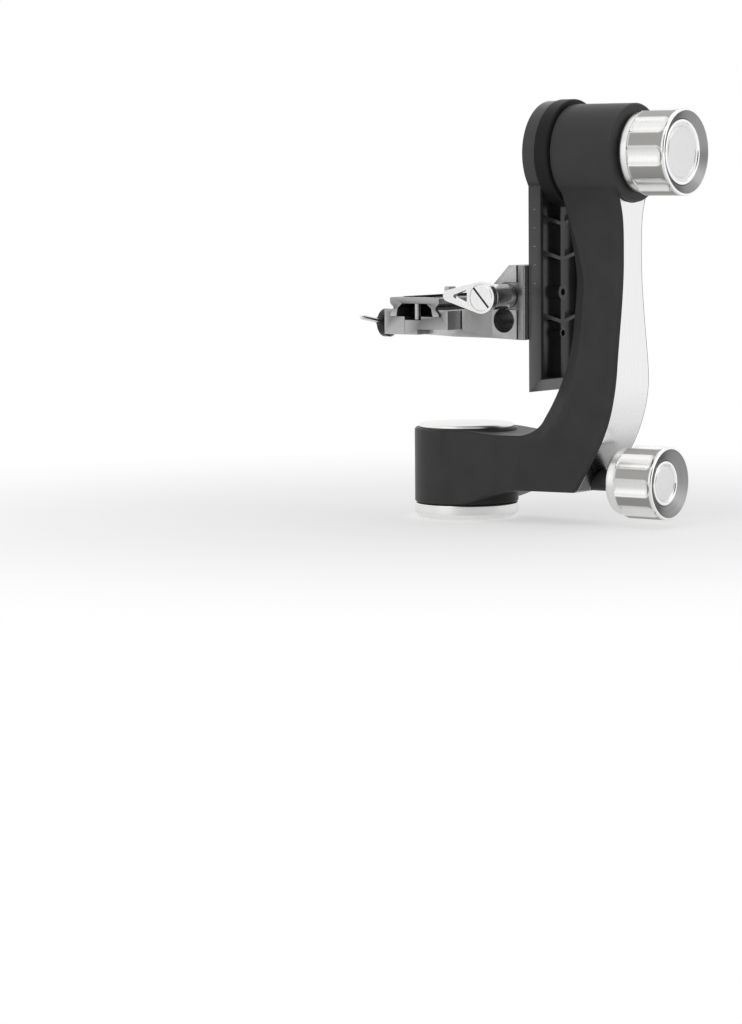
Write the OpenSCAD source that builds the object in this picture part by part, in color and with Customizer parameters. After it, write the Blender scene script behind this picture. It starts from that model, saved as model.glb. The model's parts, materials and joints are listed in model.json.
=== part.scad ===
// Gimbal tripod head: a C-shaped arm turns on a round base (pan), a swing arm turns
// in the top of that arm (tilt), and a clamp platform slides up and down the swing arm.
// Origin: centre of the base's bottom face. +Z up, +X towards the arm's upright and
// its two knobs, -Y is where the lens looks. Millimetres.

/* [Base] */
// Radius of the silver base ring
base_r = 29; // [27:0.5:32]
// Height of the base ring
base_h = 8.2; // [6:0.1:10]
// Chamfer under the base ring
base_chamfer = 2.9; // [1.5:0.1:4]
// Radius of the tripod screw hole
socket_r = 4.8; // [3.2:0.1:5]
// Depth of the tripod screw hole
socket_depth = 14; // [10:0.5:16]
// Radius of the pan spindle
spindle_r = 14; // [12:0.5:15]

/* [Pan housing] */
// Radius of the pan housing
housing_r = 29; // [27:0.5:32]
// Height of the pan housing's top above the tripod face
housing_top = 50.4; // [46:0.2:54]
// Radius of the cap disc on the pan housing
cap_r = 26.4; // [22:0.2:26.6]
// Thickness of the cap disc's rim
cap_t = 2; // [1:0.1:3]
// Outer radius of the pan bearings
pan_bearing_r = 21; // [19:0.5:22]
// Height of each pan bearing
pan_bearing_h = 8.4; // [6:0.1:9]

/* [C arm] */
// Height of the level part's upper side
arm_top = 48.4; // [46:0.2:50]
// Height of the level part's underside
arm_bottom = 18.3; // [14:0.1:18.4]
// Where the upright's outer face stands
upright_out = 110; // [106:0.5:116]
// Where the upright's inner face stands
upright_in = 79; // [77:0.5:82]
// Where the inner elbow's corner would be, unrounded
elbow_in = 58.3; // [52:0.5:60]
// Where the outer elbow's lower corner is
elbow_out = 84.5; // [80:0.5:88]
// Slope of the elbow's straight faces
elbow_slope = 58.7; // [50:0.5:62]
// Radius of the curve from the elbow into the upright, inner side
bend_in_r = 85; // [60:1:100]
// Radius of the curve from the elbow into the upright, outer side
bend_out_r = 90; // [60:1:110]
// Radius of the small fillet at the inner elbow
elbow_fillet = 16; // [8:1:20]
// Half width of the arm at the elbow
arm_half_w = 18.6; // [16:0.2:22]
// Half width of the upright at its waist
waist_half_w = 10.6; // [9:0.2:16]
// Height of the waist
waist_z = 145; // [130:1:155]
// Width of the long bevel on the upright's inner edges
bevel_w = 8; // [2:0.5:10]
// Depth of that bevel
bevel_d = 4; // [1:0.2:6]
// Chamfer on the arm's other long edges
edge = 1.5; // [0.5:0.1:2.5]

/* [Tilt axis] */
// Height of the tilt axis
tilt_z = 201.8; // [190:0.5:215]
// Radius of the tilt housing
tilt_r = 26.5; // [24:0.2:28]
// Length of the tilt housing
tilt_len = 39; // [36:0.5:42]
// Radius of the tilt shaft
shaft_r = 12; // [9:0.5:13]
// Outer radius of the tilt bearings
tilt_bearing_r = 20; // [17:0.5:21]
// Radius of the hub flange between housing and swing arm
hub_r = 29.2; // [27:0.2:31]
// Thickness of the hub flange
hub_t = 8.3; // [6:0.1:9]

/* [Swing arm] */
// Thickness of the swing arm plate
plate_t = 7.8; // [6:0.1:9]
// Half width of the plate
plate_half_w = 22.5; // [20:0.5:25]
// Radius of the plate's round head
plate_head_r = 28.5; // [26:0.5:30]
// Height of the plate's lower end
plate_bottom = 70; // [64:0.5:74]
// Depth of the pockets between the ribs
pocket_depth = 5; // [3:0.2:6]
// Width of the border around the pockets
border = 2.8; // [2:0.1:4]
// Width of the ribs
rib_w = 2; // [1.5:0.1:3]
// Height of the dovetail rail on the inner side
rail_h = 4.2; // [3:0.1:5]
// Half width of the rail at its root
rail_half_w = 13; // [11:0.5:15]

/* [Knobs] */
// Largest radius of the tilt knob
tilt_knob_r = 23.3; // [21:0.1:26]
// Length of the tilt knob
tilt_knob_len = 29.7; // [26:0.1:34]
// Largest radius of the pan knob
pan_knob_r = 19.8; // [17:0.1:22]
// Length of the pan knob
pan_knob_len = 30.4; // [26:0.1:34]
// Height of the pan knob's axis
pan_knob_z = 24.4; // [24:0.1:26]
// Number of flutes around a knob
flutes = 8; // [6:1:10]
// Depth of the flutes
flute_depth = 2.3; // [1:0.1:3]

/* [Platform] */
// Height of the platform bracket's underside at the swing arm
platform_z = 100.9; // [96:0.2:106]
// Half width of the bracket's upright leg
leg_half_w = 27; // [25:0.5:30]
// Height of the bracket's upright leg
leg_h = 40.7; // [36:0.5:44]
// Half length of the clamp along the lens direction
clamp_half_l = 47.5; // [36:0.5:52]
// Half width of the clamp across the lens direction
clamp_half_w = 21.3; // [20.8:0.1:26]
// Height of the clamp's seat above the bracket's underside
seat_h = 12.6; // [11:0.1:14]
// Half width of the dovetail foot that the clamp holds
dovetail_half_w = 16.3; // [15:0.1:17]
// Travel of the clamp's moving jaw
jaw_travel = 3; // [1:0.1:4]

/* [Levers] */
// Radius of a lever's hub
lever_hub_r = 8.6; // [7:0.1:10]
// Distance from a lever's hub to its tip
lever_reach = 22; // [16:0.5:30]
// Thickness of a lever's leaf
lever_t = 3.6; // [3:0.1:6]
// Radius of the barrel behind a lever
barrel_r = 6.9; // [5:0.1:7.5]

/* [Quick release plate] */
// Length of the plate
qr_len = 98; // [70:1:120]
// Height of the plate
qr_h = 10.4; // [9.8:0.1:12]
// Radius of the camera screw's stud
stud_r = 3.175; // [3:0.005:3.2]

/* [Hidden] */
$fn = 64;

// Clearances: a running fit, a fit inside one body, and air between moving faces
run = 0.05;
seat = 0.02;
air = 0.3;
// A cut runs this far past the face that it opens
past = 1;

// Colours, as the photograph shows them
c_black = [0.15, 0.15, 0.155];
c_dark = [0.22, 0.22, 0.23];
c_grey = [0.5, 0.5, 0.51];
c_silver = [0.82, 0.82, 0.83];
c_steel = [0.6, 0.6, 0.62];
c_rubber = [0.08, 0.08, 0.08];
c_brass = [0.72, 0.6, 0.32];

// ---- helpers ----

function lerp(a, b, t) = a + (b - a) * t;
function ease(t) = t <= 0 ? 0 : t >= 1 ? 1 : t * t * (3 - 2 * t);

// Turns a shape made along +Z so that it runs along +X, or along -Y
module along_x() rotate([0, 90, 0]) children();
module along_front() rotate([90, 0, 0]) children();

module ring(r_out, r_in, h) {
    difference() {
        cylinder(r = r_out, h = h);
        translate([0, 0, -past]) cylinder(r = r_in, h = h + 2 * past);
    }
}

// A turned disc with a chamfer c at its top rim and cb at its bottom rim
module turned(r, h, c, cb = 0) {
    rotate_extrude(angle = 360)
        polygon([[0, 0], [r - cb, 0], [r, cb], [r, h - c], [r - c, h], [0, h]]);
}

// A deep groove ball bearing, seen from outside: two rings and the shields between
module bearing(r_in, r_out, h) {
    third = (r_out - r_in) / 3;
    shield = 0.6;
    rotate_extrude(angle = 360)
        polygon([
            [r_in, 0], [r_in + third, 0], [r_in + third, shield],
            [r_out - third, shield], [r_out - third, 0], [r_out, 0],
            [r_out, h], [r_out - third, h], [r_out - third, h - shield],
            [r_in + third, h - shield], [r_in + third, h], [r_in, h]
        ]);
}

// A knob along +Z from its base at 0: bell, fluted grip, collar and dished front
module fluted_knob(r, len, base_r, dish_r, dish_depth, bore_r, bore_depth) {
    bell = 0.24 * len;
    cutter_r = 0.36 * r;
    cutter_at = r + cutter_r - flute_depth;
    cutter_end = 0.8 * len - 0.5 * cutter_r;
    lip = 1.1;
    difference() {
        rotate_extrude(angle = 360)
            polygon([
                [0, 0], [base_r - 0.6, 0], [base_r, 0.6], [lerp(base_r, r, 0.55), 0.35 * bell],
                [lerp(base_r, r, 0.88), 0.7 * bell], [r - 0.15, bell], [r, bell + 1],
                [r, len - 0.8], [r - 0.8, len], [r - lip - 0.4, len],
                [dish_r + 0.05, len - dish_depth], [0, len - dish_depth]
            ]);
        for (i = [0:flutes - 1])
            rotate([0, 0, i * 360 / flutes + flute_turn]) translate([cutter_at, 0, -past]) {
                cylinder(r = cutter_r, h = cutter_end + past);
                translate([0, 0, cutter_end + past]) sphere(r = cutter_r);
            }
        translate([0, 0, -past]) cylinder(r = bore_r, h = bore_depth + past);
        translate([0, 0, len - dish_depth - cap_seat]) cylinder(r = dish_r, h = len);
    }
}

// The turned disc set into a knob's front, with a shallow ring groove
module knob_cap(r) {
    groove_r = 0.78 * r;
    difference() {
        turned(r - run, cap_seat, 0.3);
        translate([0, 0, cap_seat - 0.25]) ring(groove_r + 0.35, groove_r - 0.35, past);
    }
}

// Flat outline of two circles joined by their outer tangents, the second at distance d
module teardrop(r1, r2, d) {
    turn = acos((r1 - r2) / d);
    circle(r = r1);
    translate([d, 0]) circle(r = r2);
    polygon([
        [r1 * cos(turn), r1 * sin(turn)], [r1 * cos(turn), -r1 * sin(turn)],
        [d + r2 * cos(turn), -r2 * sin(turn)], [d + r2 * cos(turn), r2 * sin(turn)]
    ]);
}

// A leaf lever lying in XY, its leaf towards +X and its cone below, hub centre at 0
module leaf_lever(bore_r) {
    tip_r = 0.35 * lever_hub_r;
    hole_x0 = lever_hub_r + 0.6;
    hole_x1 = lever_reach - 3.6;
    hole_half = 3.6;
    difference() {
        union() {
            linear_extrude(lever_t) teardrop(lever_hub_r, tip_r, lever_reach);
            translate([0, 0, -cone_h]) cylinder(r1 = barrel_r, r2 = lever_hub_r, h = cone_h);
        }
        // Three-cornered hole between hub and tip, its corners cut
        translate([0, 0, -past]) linear_extrude(lever_t + 2 * past)
            polygon([
                [hole_x0, -hole_half + 0.8], [hole_x0 + 0.9, -hole_half], [hole_x1 - 0.9, -0.9],
                [hole_x1, 0], [hole_x1 - 0.9, 0.9], [hole_x0 + 0.9, hole_half], [hole_x0, hole_half - 0.8]
            ]);
        translate([0, 0, -cone_h - past]) cylinder(r = bore_r, h = 2 * lever_t + cone_h);
        translate([0, 0, lever_t - screw_head_h]) cylinder(r = screw_head_r + run, h = lever_t);
    }
}

// The slotted screw head that holds a lever, its top face at z = screw_head_h
module slotted_screw(r) {
    difference() {
        turned(r, screw_head_h, 0.25);
        rotate([0, 0, 135])
            translate([-2 * r, -0.6, screw_head_h - 1.1]) cube([4 * r, 1.2, past + 1.1]);
    }
}

// A socket head screw standing on z = 0 below its head: head up, shank down
module cap_screw(head_r, head_h, shank_r, shank_len, drive_r) {
    difference() {
        union() {
            cylinder(r = head_r, h = head_h);
            translate([0, 0, -shank_len]) cylinder(r = shank_r, h = shank_len + 0.5 * head_h);
        }
        translate([0, 0, 0.45 * head_h]) cylinder(r = drive_r, h = head_h, $fn = 6);
    }
}

// ---- derived places ----

screw_head_r = lever_hub_r - 1.4;
screw_head_h = 2;
bolt_r = 3;
cone_h = 2.6;
cap_seat = 2.2;
flute_turn = 5;

// Pan stack
washer_t = 0.55;
arm_z0 = base_h + washer_t + 0.05;
spindle_bore_r = 8;
flange_h = 1.8;
flange_r = spindle_r + 3;
spindle_screw_at = (spindle_bore_r + spindle_r) / 2;
bearing1_z = base_h + flange_h + 0.1;
shoulder1_z = bearing1_z + pan_bearing_h + 0.1;
shoulder2_z = shoulder1_z + 12.2;
bearing2_z = shoulder2_z + 0.1;
nut_z = bearing2_z + pan_bearing_h + 0.2;
nut_h = 4;
nut_r = spindle_r + 4;
web_r = spindle_r + 1;
channel_r = 4.3;
cap_spigot_r = pan_bearing_r;
cap_spigot_h = 2.4;

// Pan lock, along X
boss_r = 6.3;
// The boss stands this far out of the arm's sloping face
boss_stand = 3.95;
boss_end = elbow_out + (pan_knob_z + boss_r - arm_bottom) / tan(elbow_slope) + boss_stand;
collar_end = boss_end + 7;
pan_knob_x = collar_end + air;
pad_end = 22;

// Tilt stack, along X
tilt_x1 = upright_out + 3;
tilt_x0 = tilt_x1 - tilt_len;
hub_x1 = tilt_x0 - air;
hub_x0 = hub_x1 - hub_t;
plate_x1 = hub_x0;
plate_x0 = plate_x1 - plate_t;
rail_x0 = plate_x0 - rail_h;
tilt_bearing_h = 8;
tilt_bearing_in_x = tilt_x0 + 2;
tilt_bearing_out_x = tilt_x1 - 3 - tilt_bearing_h;
brake_x = tilt_bearing_out_x + tilt_bearing_h + 0.1;
tilt_knob_x = tilt_x1 + air + 0.9;
tilt_knob_base_r = 20;
pan_knob_base_r = 16.5;
thread_r = 6;
thread_in_knob = 14;

// Platform
bracket_top = platform_z + 16.5;
seat_z = platform_z + seat_h;
lip_z = seat_z + 3.9;
jaw_x1 = -7.7;
fixed_x0 = jaw_x1 + 0.2;
jaw_z0 = platform_z + 2.7;
deck_z = platform_z + 5.6;
clamp_bolt_z = platform_z + 8.3;
clamp_bolt_r = 2;
clamp_bolt_y = -34;
bracket_front = clamp_half_l - 10.8;
leg_x1 = plate_x0 - air;
leg_x0 = leg_x1 - 10.6;
bolt_x = leg_x0 - 0.5;
bolt_up = 23.8;
bolt_z = platform_z + bolt_up;
// Long enough to cut right through the carriage
through = 60;
jaw_gap = 0.25;
dovetail_lean = 0.55;
height_jaw_x0 = rail_x0 - 0.6;
ear_r = barrel_r + 0.3;
ear_t = 4.6;
hole_x = leg_x0 - 2.5;
hole_up = 10.6;
hole_r = 6.7;
hole_depth = 14;
height_travel = 0.75;
lever_gap = 0.5;
barrel_len = clamp_half_l + lever_gap - cone_h - leg_half_w;
clamp_barrel = 3.2;

// Quick release plate
qr_z0 = seat_z + 0.15;
qr_top = qr_z0 + qr_h;

// ---- the C arm's own shape ----

// Half width of the level part: straight faces that leave the pan housing tangentially
tangent_turn = atan2(arm_half_w, elbow_out) + acos(housing_r / norm([elbow_out, arm_half_w]));
tangent_x = housing_r * cos(tangent_turn);
tangent_half_w = housing_r * sin(tangent_turn);
function level_half_w(x) =
    lerp(tangent_half_w, arm_half_w, min(1, (x - tangent_x) / (elbow_out - tangent_x)));

// Half width at any point: from the level part in to the waist, then out to the tilt housing
waist_from = 66;
arm_end_z = tilt_z - 0.634 * tilt_r;
arm_end_half_w = sqrt(tilt_r * tilt_r - pow(tilt_z - arm_end_z, 2)) - 0.15;
function arm_half(x, z) = z < waist_z
    ? lerp(level_half_w(x), waist_half_w, ease((z - waist_from) / (waist_z - waist_from))) - 0.02
    : lerp(waist_half_w, arm_end_half_w, pow((z - waist_z) / (arm_end_z - waist_z), 4)) - 0.02;

// Inner side: fillet, sloping line, large arc, upright
fillet_reach = elbow_fillet * tan(elbow_slope / 2);
fillet_x = elbow_in - fillet_reach;
bend_turn = 90 - elbow_slope;
function bend_start(x, z, x_up, r) =
    let (corner_z = z + (x_up - x) * tan(elbow_slope), back = r * tan(bend_turn / 2))
    [x_up - back * cos(elbow_slope), corner_z - back * sin(elbow_slope), corner_z + back];
in_bend = bend_start(elbow_in, arm_top, upright_in, bend_in_r);
out_bend = bend_start(elbow_out, arm_bottom, upright_out, bend_out_r);
function bend_point(b, x_up, r, t) =
    let (a = bend_turn * (1 - t)) [x_up - r + r * cos(a), b[2] - r * sin(a)];

// Stations along the arm: inner point, outer point, bevel's width and depth, chamfer
corner_cut = 1.5;
level_steps = 18;
elbow_steps = 14;
bend_steps = 20;
upright_steps = 34;
face_steps = 5;
join_z = waist_z - 17;
arm_stations = concat(
    [for (i = [0:level_steps - 1])
        let (x = lerp(tangent_x, fillet_x, i / level_steps))
        [[x, lerp(housing_top - 0.3, arm_top, ease((x - 14) / 24))],
         [x, lerp(arm_z0 + 0.2, arm_bottom, ease((x - 10) / 36))],
         0.8, 0.8, 1]],
    [for (i = [0:elbow_steps])
        let (t = i / elbow_steps, a = elbow_slope * t,
             x = lerp(fillet_x, elbow_out - corner_cut, t), k = ease(t))
        [[fillet_x + elbow_fillet * sin(a), arm_top + elbow_fillet * (1 - cos(a))],
         [x, arm_bottom],
         lerp(0.8, bevel_w, k), lerp(0.8, bevel_d, k), 1]],
    [for (t = [0.12, 0.5])
        let (p = [elbow_in + fillet_reach * cos(elbow_slope), arm_top + fillet_reach * sin(elbow_slope)],
             q = [elbow_out + corner_cut * cos(elbow_slope), arm_bottom + corner_cut * sin(elbow_slope)])
        [lerp(p, [in_bend[0], in_bend[1]], t),
         lerp(q, [out_bend[0], out_bend[1]], t < 0.2 ? 0 : t),
         bevel_w, bevel_d, edge]],
    [for (i = [0:bend_steps])
        let (t = i / bend_steps)
        [bend_point(in_bend, upright_in, bend_in_r, t), bend_point(out_bend, upright_out, bend_out_r, t),
         bevel_w, bevel_d, edge]],
    [for (i = [1:upright_steps])
        let (t = i / upright_steps,
             zi = lerp(in_bend[2], arm_end_z, t), zo = lerp(out_bend[2], arm_end_z, t),
             k = ease((zi - join_z) / (arm_end_z - 7 - join_z)))
        [[lerp(upright_in, tilt_x0 + 0.4, k), zi], [upright_out, zo],
         lerp(bevel_w, 0.9, k), lerp(bevel_d, 0.9, k), edge]]
);

// One section across the arm: four corners on each side, and more points on the wide face
function arm_section(s) =
    let (p = s[0], q = s[1], u = (q - p) / norm(q - p), a = p + u * s[2], b = q - u * s[4],
         hp = arm_half(p[0], p[1]) - s[3], ha = arm_half(a[0], a[1]),
         hb = arm_half(b[0], b[1]), hq = arm_half(q[0], q[1]) - s[4],
         face = [for (i = [1:face_steps - 1]) let (m = lerp(a, b, i / face_steps)) [m[0], arm_half(m[0], m[1]), m[1]]],
         side = concat([[p[0], hp, p[1]], [a[0], ha, a[1]]], face, [[b[0], hb, b[1]], [q[0], hq, q[1]]]))
    concat(side, [for (i = [len(side) - 1:-1:0]) [side[i][0], -side[i][1], side[i][2]]]);

module arm_loft() {
    rings = len(arm_stations);
    around = 2 * (face_steps + 3);
    points = [for (s = arm_stations) each arm_section(s)];
    sides = [for (r = [0:rings - 2], k = [0:around - 1])
        let (a = around * r + k, b = around * r + (k + 1) % around)
        each [[a, b, b + around], [a, b + around, a + around]]];
    start = [[for (k = [around - 1:-1:0]) k]];
    end = [[for (k = [0:around - 1]) around * (rings - 1) + k]];
    polyhedron(points, concat(sides, start, end), convexity = 6);
}

// ---- base ----

module base_ring() {
    hub_plug_r = spindle_bore_r - run;
    color(c_silver) difference() {
        union() {
            turned(base_r, base_h, 0.4, base_chamfer);
            cylinder(r = hub_plug_r, h = socket_depth);
        }
        translate([0, 0, -past]) cylinder(r = socket_r, h = socket_depth + 2 * past);
        for (i = [0:2])
            rotate([0, 0, 120 * i + 30]) translate([spindle_screw_at, 0, 0]) {
                translate([0, 0, -past]) cylinder(r = 1.7, h = base_h + 2 * past);
                translate([0, 0, -past]) cylinder(r = 3.1, h = 3.4 + past);
            }
    }
}

module pan_spindle() {
    color(c_steel) difference() {
        union() {
            translate([0, 0, base_h]) cylinder(r = flange_r, h = flange_h);
            translate([0, 0, base_h]) cylinder(r = spindle_r, h = nut_z + nut_h - base_h);
        }
        translate([0, 0, base_h - past])
            cylinder(r = spindle_bore_r, h = socket_depth + 0.2 - base_h + past);
        for (i = [0:2])
            rotate([0, 0, 120 * i + 30]) translate([spindle_screw_at, 0, base_h - past])
                cylinder(r = 1.52, h = 8 + past);
    }
}

module pan_thrust_washer() {
    color(c_rubber) translate([0, 0, base_h]) ring(base_r - 2.5, flange_r + 1, washer_t);
}

module spindle_screws() {
    color(c_steel) for (i = [0:2])
        rotate([0, 0, 120 * i + 30]) translate([spindle_screw_at, 0, 3.4])
            mirror([0, 0, 1]) cap_screw(2.9, 2.8, 1.5, 11, 1.3);
}

// ---- C arm and pan parts ----

module c_arm() {
    color(c_dark) difference() {
        union() {
            arm_loft();
            translate([0, 0, arm_z0]) turned(housing_r, housing_top - arm_z0, 1, 0.6);
            translate([tilt_x0, 0, tilt_z]) along_x() turned(tilt_r, tilt_len, 0.8, 0.4);
            translate([elbow_out - 6, 0, pan_knob_z]) along_x()
                cylinder(r = boss_r - 0.4, h = boss_end - elbow_out + 6);
        }
        // Pan bore: two bearing seats with a web between them, open at the top
        translate([0, 0, arm_z0 - past])
            cylinder(r = pan_bearing_r + seat, h = shoulder1_z - arm_z0 + past);
        translate([0, 0, arm_z0]) cylinder(r = web_r, h = housing_top);
        translate([0, 0, shoulder2_z]) cylinder(r = pan_bearing_r + seat, h = housing_top);
        // Channel of the pan lock
        translate([web_r - past, 0, pan_knob_z]) along_x()
            cylinder(r = channel_r, h = boss_end + past);
        // Tilt bore: a bearing seat at each end
        translate([tilt_x0 - past, 0, tilt_z]) along_x() {
            cylinder(r = shaft_r + 3, h = tilt_len + 2 * past);
            cylinder(r = tilt_bearing_r + seat, h = tilt_bearing_in_x + tilt_bearing_h - tilt_x0 + past);
        }
        translate([tilt_bearing_out_x, 0, tilt_z]) along_x()
            cylinder(r = tilt_bearing_r + seat, h = tilt_bearing_h + 3 + past);
    }
}

module pan_bearing_lower() {
    color(c_steel) translate([0, 0, bearing1_z]) bearing(spindle_r + run, pan_bearing_r, pan_bearing_h);
}

module pan_bearing_upper() {
    color(c_steel) translate([0, 0, bearing2_z]) bearing(spindle_r + run, pan_bearing_r, pan_bearing_h);
}

module pan_retaining_nut() {
    nut_in_r = spindle_r + seat;
    color(c_steel) translate([0, 0, nut_z]) difference() {
        ring(nut_r, nut_in_r, nut_h);
        for (i = [0:3])
            rotate([0, 0, 90 * i]) translate([nut_r - 1.2, -1.5, nut_h - 1.6]) cube([3, 3, 3]);
    }
}

module pan_cap() {
    color(c_silver) {
        translate([0, 0, housing_top]) turned(cap_r, cap_t, 0.5, 0.3);
        translate([0, 0, housing_top - cap_spigot_h])
            ring(cap_spigot_r, cap_spigot_r - 2, cap_spigot_h + 0.5 * cap_t);
    }
}

module pan_lock_collar() {
    color(c_black) translate([boss_end, 0, pan_knob_z]) along_x() difference() {
        turned(boss_r, collar_end - boss_end, 0.5);
        translate([0, 0, -past]) cylinder(r = channel_r, h = collar_end);
    }
}

module pan_brake_pad() {
    color(c_brass) translate([spindle_r + 0.12, 0, pan_knob_z]) along_x()
        cylinder(r = channel_r - run, h = pad_end - spindle_r - 0.12);
}

module pan_lock_screw() {
    color(c_steel) translate([pad_end, 0, pan_knob_z]) along_x()
        cylinder(r = channel_r - run, h = pan_knob_x + 12 - pad_end);
}

module pan_knob() {
    color(c_silver) translate([pan_knob_x, 0, pan_knob_z]) along_x()
        fluted_knob(pan_knob_r, pan_knob_len, pan_knob_base_r, pan_cap_r, 3.4, channel_r - run + seat, 12.5);
}

pan_cap_r = 12.2;
tilt_cap_r = 17.6;

module pan_knob_cap() {
    color(c_silver) translate([pan_knob_x + pan_knob_len - 3.4 - cap_seat, 0, pan_knob_z])
        along_x() knob_cap(pan_cap_r);
}

// ---- tilt parts ----

module tilt_bearing_inner() {
    color(c_steel) translate([tilt_bearing_in_x, 0, tilt_z]) along_x()
        bearing(shaft_r + run, tilt_bearing_r, tilt_bearing_h);
}

module tilt_bearing_outer() {
    color(c_steel) translate([tilt_bearing_out_x, 0, tilt_z]) along_x()
        bearing(shaft_r + run, tilt_bearing_r, tilt_bearing_h);
}

hub_screw_at = 20;
shaft_head_t = 2.4;
shaft_head_r = shaft_r + 2.5;
shaft_head_x = plate_x0 + 0.8;

module tilt_hub() {
    color(c_black) translate([hub_x0, 0, tilt_z]) along_x() difference() {
        turned(hub_r, hub_t, 0.7, 0.3);
        translate([0, 0, -past]) cylinder(r = shaft_r + seat, h = hub_t + 2 * past);
        for (i = [0:3])
            rotate([0, 0, 90 * i + 45]) translate([hub_screw_at, 0, -past])
                cylinder(r = 2.02, h = 5.5 + past);
    }
}

module tilt_shaft() {
    color(c_steel) translate([shaft_head_x, 0, tilt_z]) along_x() {
        cylinder(r = shaft_head_r, h = shaft_head_t);
        cylinder(r = shaft_r, h = tilt_bearing_out_x + tilt_bearing_h - shaft_head_x);
        cylinder(r = thread_r, h = tilt_knob_x + thread_in_knob - shaft_head_x);
    }
}

// Outline of the swing arm, seen from its outer side: X is -Z, Y stays
module swing_outline(inset = 0) {
    circle(r = plate_head_r - inset);
    translate([0, -plate_half_w + inset])
        square([tilt_z - plate_bottom - inset, 2 * (plate_half_w - inset)]);
}

// Half width of the dovetail rail at a place along X: it widens away from the plate
function rail_half(x) = rail_half_w + (plate_x0 - x) * dovetail_lean;

module rail_section() {
    corner = rail_half(rail_x0 + 0.5);
    polygon([
        [plate_x0 + 0.5, -rail_half_w], [plate_x0, -rail_half_w], [rail_x0 + 0.5, -corner],
        [rail_x0, -corner + 0.5], [rail_x0, corner - 0.5],
        [rail_x0 + 0.5, corner], [plate_x0, rail_half_w], [plate_x0 + 0.5, rail_half_w]
    ]);
}

// Heights of the chevron ribs' points, the round boss and the small ring
chevron_z = [163.4, 144.3, 110];
chevron_rise = 5.2;
boss_z = 126.4;
small_ring_z = 104;
rail_z0 = plate_bottom + 7;
rail_z1 = tilt_z - plate_head_r - 3;
pocket_floor = plate_x1 - pocket_depth;

module pocket_ribs() {
    rib_h = pocket_depth - 0.6;
    translate([pocket_floor - 0.5, -rib_w, plate_bottom + 9])
        cube([rib_h + 0.5, 2 * rib_w, tilt_z - plate_bottom - 30]);
    for (z = chevron_z, side = [-1, 1])
        translate([pocket_floor - 0.5, 0, z]) rotate([side * atan2(chevron_rise, plate_half_w), 0, 0])
            translate([0, side > 0 ? 0 : -plate_half_w, -rib_w / 2]) cube([rib_h + 0.5, plate_half_w, rib_w]);
    translate([pocket_floor - 0.5, 0, boss_z]) along_x() cylinder(r = 4.2, h = rib_h + 0.7);
    translate([pocket_floor - 0.5, 0, small_ring_z]) along_x() cylinder(r = 3, h = rib_h + 0.7);
}

module swing_plate() {
    foot = 10;
    color(c_dark) difference() {
        union() {
            difference() {
                translate([plate_x0, 0, tilt_z]) along_x() linear_extrude(plate_t) swing_outline();
                // Pockets on the outer side, under the hub
                translate([pocket_floor, 0, tilt_z]) along_x() linear_extrude(pocket_depth + past)
                    difference() {
                        translate([0, -plate_half_w + border])
                            square([tilt_z - plate_bottom - foot, 2 * (plate_half_w - border)]);
                        circle(r = hub_r - 2);
                    }
            }
            intersection() {
                pocket_ribs();
                translate([plate_x0, 0, tilt_z]) along_x() linear_extrude(plate_t) swing_outline(border / 2);
            }
            translate([0, 0, rail_z0]) linear_extrude(rail_z1 - rail_z0) rail_section();
        }
        // Sloping lower end on the outer side
        translate([plate_x1, 0, plate_bottom + foot - 0.5]) rotate([0, 48, 0])
            translate([0, -plate_half_w - past, -30]) cube([20, 2 * plate_half_w + 2 * past, 30]);
        // Seat of the shaft's head, screw holes in the head, stop screw holes in the rail
        translate([plate_x0 - past, 0, tilt_z]) along_x() {
            cylinder(r = shaft_r + seat, h = plate_t + 2 * past);
            cylinder(r = shaft_head_r + seat, h = shaft_head_x + shaft_head_t - plate_x0 + past);
            for (i = [0:3])
                rotate([0, 0, 90 * i + 45]) translate([hub_screw_at, 0, 0]) {
                    cylinder(r = 2.3, h = plate_t + 2 * past);
                    cylinder(r = 3.7, h = 4.3 + past);
                }
        }
        for (z = [rail_z0 + 3.4, rail_z1 - 3.4])
            translate([rail_x0 - past, 0, z]) along_x() cylinder(r = 1.52, h = 6 + past);
        translate([plate_x1 - pocket_depth, 0, boss_z]) along_x() cylinder(r = 1.9, h = pocket_depth + past);
        translate([plate_x1 - pocket_depth, 0, small_ring_z]) along_x()
            cylinder(r = 1.7, h = pocket_depth + past);
    }
}

module hub_screws() {
    color(c_steel) translate([plate_x0 + 4.3, 0, tilt_z]) along_x()
        for (i = [0:3])
            rotate([0, 0, 90 * i + 45]) translate([hub_screw_at, 0, 0])
                mirror([0, 0, 1]) cap_screw(3.5, 3.9, 2, plate_t - 4.3 + 5, 1.5);
}

module rail_stop_screws() {
    color(c_steel) for (z = [rail_z0 + 3.4, rail_z1 - 3.4])
        translate([rail_x0, 0, z]) along_x() mirror([0, 0, 1]) cap_screw(2.8, 2.4, 1.5, 5.5, 1.2);
}

module tilt_brake_disc() {
    color(c_black) translate([brake_x, 0, tilt_z]) along_x()
        ring(tilt_bearing_r - air, thread_r + run, tilt_knob_x - brake_x);
}

module tilt_knob() {
    color(c_silver) translate([tilt_knob_x, 0, tilt_z]) along_x()
        fluted_knob(tilt_knob_r, tilt_knob_len, tilt_knob_base_r, tilt_cap_r, 2.9, thread_r + run, thread_in_knob + 0.5);
}

module tilt_knob_cap() {
    color(c_silver) translate([tilt_knob_x + tilt_knob_len - 2.9 - cap_seat, 0, tilt_z])
        along_x() knob_cap(tilt_cap_r);
}

// ---- platform ----

// Side outline of the bracket: deck under the clamp, web, gusset and upright leg
module bracket_side() {
    polygon([
        [fixed_x0, jaw_z0], [leg_x1, platform_z], [leg_x1, platform_z + leg_h],
        [leg_x0 + 1.1, platform_z + leg_h], [clamp_half_w + 2.7, bracket_top],
        [clamp_half_w + 0.6, bracket_top],
        [clamp_half_w + 0.6, deck_z], [fixed_x0, deck_z]
    ]);
}

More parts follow.
